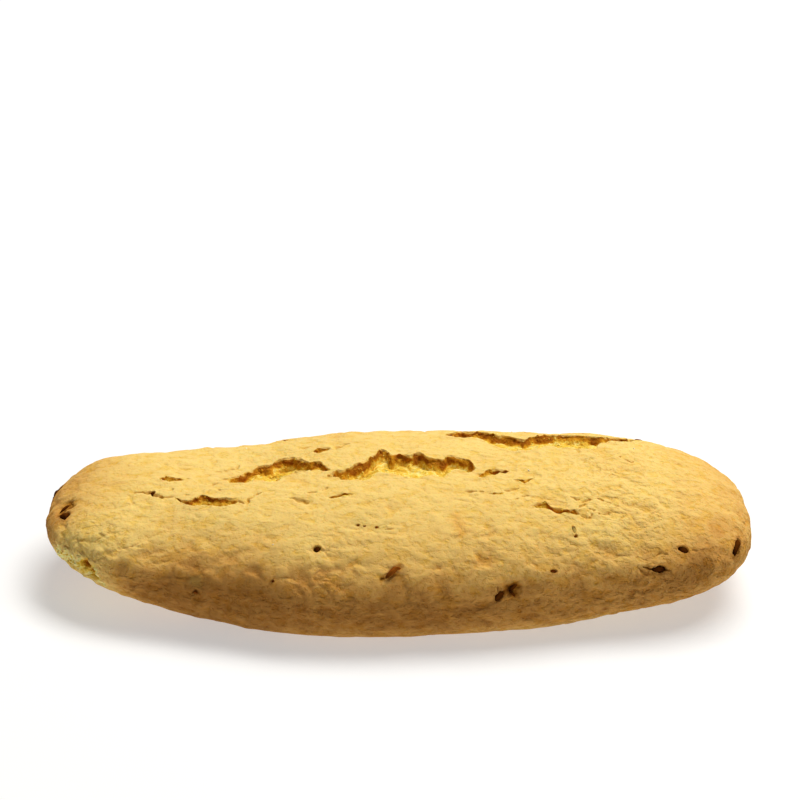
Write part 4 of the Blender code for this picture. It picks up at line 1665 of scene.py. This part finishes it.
    def _swollen(self, points: np.ndarray) -> np.ndarray:
        """Push the skin out or in at each named swell, and lump it softly all over.

        Args:
            points: The loaf's points.

        Returns:
            The swollen points.
        """
        core = points * np.array([self.core_reach, 0.0, 0.0]) + UPWARD * self.girth_height
        outward = points - core
        outward /= np.linalg.norm(outward, axis=1)[:, None]
        push = self.unevenness.at(points)
        for swell in SWELLS:
            offset = (points - np.array(swell.centre) * MM) / (swell.radius * MM)
            push += swell.rise * MM * np.exp(-(offset**2).sum(axis=1))
        return points + outward * push[:, None]

    def _settle(self, mesh: bpy.types.Mesh) -> None:
        """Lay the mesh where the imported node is.

        Args:
            mesh: The body's mesh.
        """
        low, high = (np.array(corner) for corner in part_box(NODE))
        points = read_points(mesh)
        self.lay = (low + high - points.min(axis=0) - points.max(axis=0)) / 2
        self.lay[2] = low[2] - points[:, 2].min()
        write_points(mesh, points + self.lay)

    def _thin(self, obj: bpy.types.Object) -> None:
        """Merge faces where the surface is plain, and leave triangles.

        Args:
            obj: The body.
        """
        apply_modifier(obj, "TRIANGULATE")
        report(obj)
        apply_modifier(obj, "DECIMATE", ratio=min(1.0, self.triangles / len(obj.data.polygons)))

    def _unwrap(self, mesh: bpy.types.Mesh) -> None:
        """Unwrap the skin into one large island from above and one from below.

        Args:
            mesh: The body's mesh.
        """
        points = read_points(mesh) - self.lay
        outward = points[:, :2] / np.array([self.half_length, self.half_width]) ** 2
        outward /= np.maximum(np.linalg.norm(outward, axis=1), 1e-9)[:, None]
        drop = np.maximum(self.crown_height - points[:, 2], 0.0) / (self.crown_height - self.girth_height)
        rise = points[:, 2] / self.girth_height
        seen = points[:, :2] + outward * (self.island_spread * drop**2)[:, None]
        under = points[:, :2] + outward * (self.under_spread * rise**2)[:, None]
        under *= np.array([-1.0, 1.0])
        corners = np.empty(len(mesh.loops), dtype=np.int64)
        mesh.loops.foreach_get("vertex_index", corners)
        height = points[corners, 2].reshape(-1, 3).mean(axis=1)
        above = np.repeat(height > self.seam_height, 3)[:, None]
        span = 2 * (self.half_length + self.island_margin)
        flat = np.where(above, seen[corners], under[corners]) / span
        flat += np.where(above, np.array([self.island_centre]), np.array([self.under_centre]))
        mesh.uv_layers.new(name="OFBake").data.foreach_set("uv", flat.ravel())


@dataclass(frozen=True)
class SeedFinish:
    """Toasted anise seed with paler ribs."""

    dark: Triple = (0.085, 0.022, 0.002)
    brown: Triple = (0.24, 0.064, 0.006)
    grey: Triple = (0.47, 0.33, 0.09)
    grain: float = 0.35 * MM
    ground: float = 0.70
    rib_light: float = 0.22
    grain_light: float = 0.30
    tip: float = 0.45
    body: float = 0.65

    def build(self) -> bpy.types.Material:
        """Build the material.

        Returns:
            The material.
        """
        bench = Bench("anise_seed")
        tone = bench.node("ShaderNodeAttribute", {"attribute_name": "tone"}, {}, "Fac")
        rib = bench.node("ShaderNodeAttribute", {"attribute_name": "rib"}, {}, "Fac")
        end = bench.node("ShaderNodeAttribute", {"attribute_name": "end"}, {}, "Fac")
        fine = bench.noise(bench.place(), self.grain, 3.0, 0.6)
        stops = [(Tone.DARK.value, self.dark), (Tone.BROWN.value, self.brown), (Tone.GREY.value, self.grey)]
        colour = bench.node("ShaderNodeValToRGB", {"stops": stops}, {"Fac": tone})
        light = self.ground + rib * self.rib_light + fine * self.grain_light
        colour = bench.shade(colour, light * (self.tip + bench.ramp(end, 0.0, 0.5) * self.body))
        normal = bench.bump(fine, 0.12 * MM)
        return bench.finish(Base_Color=colour, Roughness=0.9, Normal=normal, Specular_IOR_Level=0.0)


@dataclass
class AniseSeeds:
    """Every seed that shows, as one piece."""

    beds: list[Bed]
    lay: np.ndarray
    finish: SeedFinish = field(default_factory=SeedFinish)
    ribs: int = 5
    rib_depth: float = 0.10
    taper: float = 0.35
    flatness: float = 0.8
    bend: float = 1.1
    bend_middle: float = 0.12
    droop: float = 0.25
    unevenness: Noise = Noise(0.18, 0.8 * MM, 400)

    def build(self) -> bpy.types.Object:
        """Model one seed, copy it to every bed and join the copies.

        Returns:
            The finished piece.
        """
        pattern = self._pattern()
        copies = [self._placed(pattern, bed, number) for number, bed in enumerate(self.beds)]
        bpy.data.objects.remove(pattern, do_unlink=True)
        piece = join(copies, "anise_seeds")
        piece.data.materials.append(self.finish.build())
        piece.data.shade_smooth()
        return piece

    def _pattern(self) -> bpy.types.Object:
        """Model one ribbed seed, thin at one end and bent like a bean.

        Returns:
            The seed, one unit long along X and one wide.
        """
        upright = (0, math.pi / 2, 0)
        bpy.ops.mesh.primitive_uv_sphere_add(segments=30, ring_count=18, radius=0.5, rotation=upright)
        obj = bpy.context.object
        bpy.ops.object.transform_apply(location=True, rotation=True, scale=True)
        points = read_points(obj.data)
        x = points[:, 0].copy()
        rib = 0.5 + 0.5 * np.cos(self.ribs * np.arctan2(points[:, 2], points[:, 1]))
        wide = (1.0 - self.rib_depth + self.rib_depth * rib) * (1.0 - self.taper * (0.5 - x) ** 2)
        points[:, 1:] *= wide[:, None]
        points[:, 1] += self.bend * (self.bend_middle - x**2)
        points[:, 2] -= self.droop * x**2
        write_points(obj.data, points)
        keep_values(obj.data, "rib", rib)
        keep_values(obj.data, "end", x + 0.5)
        return obj

    def _placed(self, pattern: bpy.types.Object, bed: Bed, number: int) -> bpy.types.Object:
        """Copy the pattern into a bed and make it a little uneven.

        Args:
            pattern: The seed that is copied.
            bed: Where the copy lies.
            number: Picks its unevenness.

        Returns:
            The copy.
        """
        obj = copied(pattern)
        width = bed.seed.width * MM
        shape = read_points(obj.data) * np.array([bed.length, width, width * self.flatness])
        shape += width * self.unevenness.drift(shape, number)
        turn = np.stack([bed.along, bed.across, bed.outward])
        write_points(obj.data, shape @ turn + bed.place + self.lay)
        keep_values(obj.data, "tone", bed.seed.tone.value)
        return obj


@dataclass
class LooseCrumbs:
    """Small rough crumbs that cling to the splits' walls and lips, as one piece."""

    body: CookieBody
    material: bpy.types.Material
    count: int = 170
    sizes: Station = (0.10, 0.32)
    stretch: Station = (0.6, 1.2)
    roughness: Noise = Noise(0.45, 0.7, 500)
    toasted: Station = (0.3, 1.0)

    def build(self) -> bpy.types.Object:
        """Model one crumb, copy it to drawn places on the open crumb, and join the copies.

        Returns:
            The finished piece.
        """
        draw = np.random.default_rng(11)
        bpy.ops.mesh.primitive_ico_sphere_add(subdivisions=2, radius=1.0)
        pattern = bpy.context.object
        ball = read_points(pattern.data)
        copies = []
        for number, (place, toast) in enumerate(self.body.crumb_places(self.count, draw)):
            obj = copied(pattern)
            size = self.sizes[0] + (self.sizes[1] - self.sizes[0]) * draw.random() ** 2
            stretch = draw.uniform(*self.stretch, 3)
            rough = ball * (1.0 + self.roughness.at(ball, number)[:, None]) * stretch
            write_points(obj.data, rough * size * MM + place)
            # Each crumb takes the toast mark of its place, painted shade included.
            toast = min(1.0, toast * draw.uniform(*self.toasted))
            for mark, value in ((Mark.CRUMB, 1.0), (Mark.ROUGH, 1.0), (Mark.TOAST_AND_SHADE, toast)):
                keep_values(obj.data, mark.value, value)
            copies.append(obj)
        bpy.data.objects.remove(pattern, do_unlink=True)
        piece = join(copies, "loose_crumbs")
        piece.data.materials.append(self.material)
        piece.data.shade_smooth()
        return piece


@dataclass(frozen=True)
class SugarFinish:
    """Pale, slightly clear sugar."""

    colour: Triple = (0.95, 0.84, 0.56)
    cloud_size: float = 0.3 * MM
    dimmest: float = 0.85
    lighter: float = 0.3

    def build(self) -> bpy.types.Material:
        """Build the material.

        Returns:
            The material.
        """
        bench = Bench("sugar")
        cloud = bench.noise(bench.place(), self.cloud_size, 2.0)
        colour = bench.shade(self.colour, self.dimmest + cloud * self.lighter)
        return bench.finish(Base_Color=colour, Roughness=0.35 + cloud * 0.2, Specular_IOR_Level=0.5)


@dataclass
class SugarGrains:
    """The few sugar grains on the crust, as one piece."""

    body: CookieBody
    sizes: Station = (0.18, 0.32)
    stretch: Station = (0.7, 1.3)
    finish: SugarFinish = field(default_factory=SugarFinish)

    def build(self) -> bpy.types.Object:
        """Model one worn grain, copy it to each place and join the copies.

        Returns:
            The finished piece.
        """
        draw = np.random.default_rng(12)
        bpy.ops.mesh.primitive_cube_add(size=1.0)
        pattern = bpy.context.object
        apply_modifier(pattern, "BEVEL", width=0.16, segments=2)
        shape = read_points(pattern.data)
        copies = []
        for spot in SUGAR_GRAINS:
            place = self.body.skin_point(spot)
            obj = copied(pattern)
            turn = np.linalg.qr(draw.normal(size=(3, 3)))[0]
            turn *= np.linalg.det(turn)
            size = draw.uniform(*self.sizes) * draw.uniform(*self.stretch, 3)
            write_points(obj.data, (shape * size * MM) @ turn + place)
            copies.append(obj)
        bpy.data.objects.remove(pattern, do_unlink=True)
        piece = join(copies, "sugar_grains")
        piece.data.materials.append(self.finish.build())
        return piece


def join(objects: list[bpy.types.Object], name: str) -> bpy.types.Object:
    """Join objects into the first of them.

    Args:
        objects: What is joined.
        name: The joined piece's name.

    Returns:
        The joined piece.
    """
    bpy.ops.object.select_all(action="DESELECT")
    for obj in objects:
        obj.select_set(True)
    bpy.context.view_layer.objects.active = objects[0]
    bpy.ops.object.join()
    objects[0].name = name
    return objects[0]


@dataclass
class Studio:
    """The pale floor, the soft lights and the camera at the photograph's angle."""

    distance: float = 0.5
    elevation: float = 29.4
    turn: float = 1.33
    pixels_per_mm: float = 5.32
    aim_height: float = 11.0 * MM
    cookie_in_picture: Station = (399.8, 518.4)
    sensor: float = 36.0
    clips: Station = (0.01, 20.0)
    floor_size: float = 8.0
    floor_drop: float = 0.02 * MM
    floor_grey: Triple = (0.55, 0.55, 0.55)
    floor_glow: float = 0.44
    key_size: Station = (0.80, 0.40)
    key_energy: float = 11.0
    key_colour: Triple = (1.0, 0.985, 0.95)
    key_place: Triple = (0.26, 0.29, 0.86)
    world_colour: Triple = (1.0, 0.96, 0.88)
    world_strength: float = 0.165
    lay: np.ndarray = field(default_factory=lambda: np.zeros(3))

    def build(self) -> None:
        """Make the whole studio."""
        self._floor()
        self._lights()
        self._camera()
        scene = bpy.context.scene
        scene.view_settings.view_transform = "Standard"
        scene.view_settings.look = "None"

    def _floor(self) -> None:
        """Add the floor, just under the cookie's base."""
        bpy.ops.mesh.primitive_plane_add(size=self.floor_size, location=(0.0, 0.0, -self.floor_drop))
        floor = bpy.context.object
        floor.name = "floor"
        white, bench = (1.0, 1.0, 1.0), Bench("floor")
        glow = {"Emission_Color": white, "Emission_Strength": self.floor_glow}
        floor.data.materials.append(bench.finish(Base_Color=self.floor_grey, Roughness=0.9, **glow))

    def _lights(self) -> None:
        """Add one broad light above and a little behind, wide along the cookie, and a pale world."""
        light = bpy.data.lights.new("key", "AREA")
        light.shape = "RECTANGLE"
        light.size, light.size_y = self.key_size
        light.energy = self.key_energy
        light.color = self.key_colour
        key = bpy.data.objects.new("key", light)
        key.location = self.key_place
        key.rotation_euler = (-key.location).to_track_quat("-Z", "Y").to_euler()
        bpy.context.scene.collection.objects.link(key)
        world = bpy.data.worlds.new("world")
        world.use_nodes = True
        background = world.node_tree.nodes["Background"]
        background.inputs["Color"].default_value = (*self.world_colour, 1.0)
        background.inputs["Strength"].default_value = self.world_strength
        bpy.context.scene.world = world

    def _camera(self) -> None:
        """Place the camera so that the cookie falls where it does in the photograph."""
        data = bpy.data.cameras.new("camera")
        data.sensor_width = self.sensor
        focal_pixels = self.pixels_per_mm * self.distance / MM
        data.lens = data.sensor_width * focal_pixels / PICTURE_WIDTH
        data.clip_start, data.clip_end = self.clips
        camera = bpy.data.objects.new("camera", data)
        bpy.context.scene.collection.objects.link(camera)
        turn, rise = math.radians(self.turn), math.radians(self.elevation)
        back = Vector((math.sin(turn) * math.cos(rise), -math.cos(turn) * math.cos(rise), math.sin(rise)))
        target = Vector((self.lay[0], self.lay[1], self.aim_height))
        camera.location = target + back * self.distance
        facing = (-back).to_track_quat("-Z", "Y").to_matrix()
        x, y = self.cookie_in_picture
        half = PICTURE_WIDTH / 2
        tip = Matrix.Rotation(math.atan((y - half) / focal_pixels), 3, "X")
        swing = Matrix.Rotation(math.atan((x - half) / focal_pixels), 3, "Y")
        camera.rotation_mode = "QUATERNION"
        camera.rotation_quaternion = (facing @ swing @ tip).to_quaternion()
        bpy.context.scene.camera = camera


def report(piece: bpy.types.Object) -> None:
    """Log a piece's name and triangles."""
    log.info("%s: %d faces", piece.name, len(piece.data.polygons))


def main() -> None:
    """Build every piece in order and say what it rides on and replaces."""
    logging.basicConfig(level=logging.INFO, format="%(name)s %(message)s")
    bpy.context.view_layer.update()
    body = CookieBody()
    crust = body.build()
    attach(crust, BODY)
    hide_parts(NODE)
    report(crust)
    seeds = AniseSeeds(body.beds, body.lay).build()
    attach(seeds, BODY)
    report(seeds)
    crumbs = LooseCrumbs(body, crust.data.materials[0]).build()
    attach(crumbs, BODY)
    report(crumbs)
    grains = SugarGrains(body).build()
    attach(grains, BODY)
    report(grains)
    Studio(lay=body.lay).build()


if __name__ == "__main__":
    main()
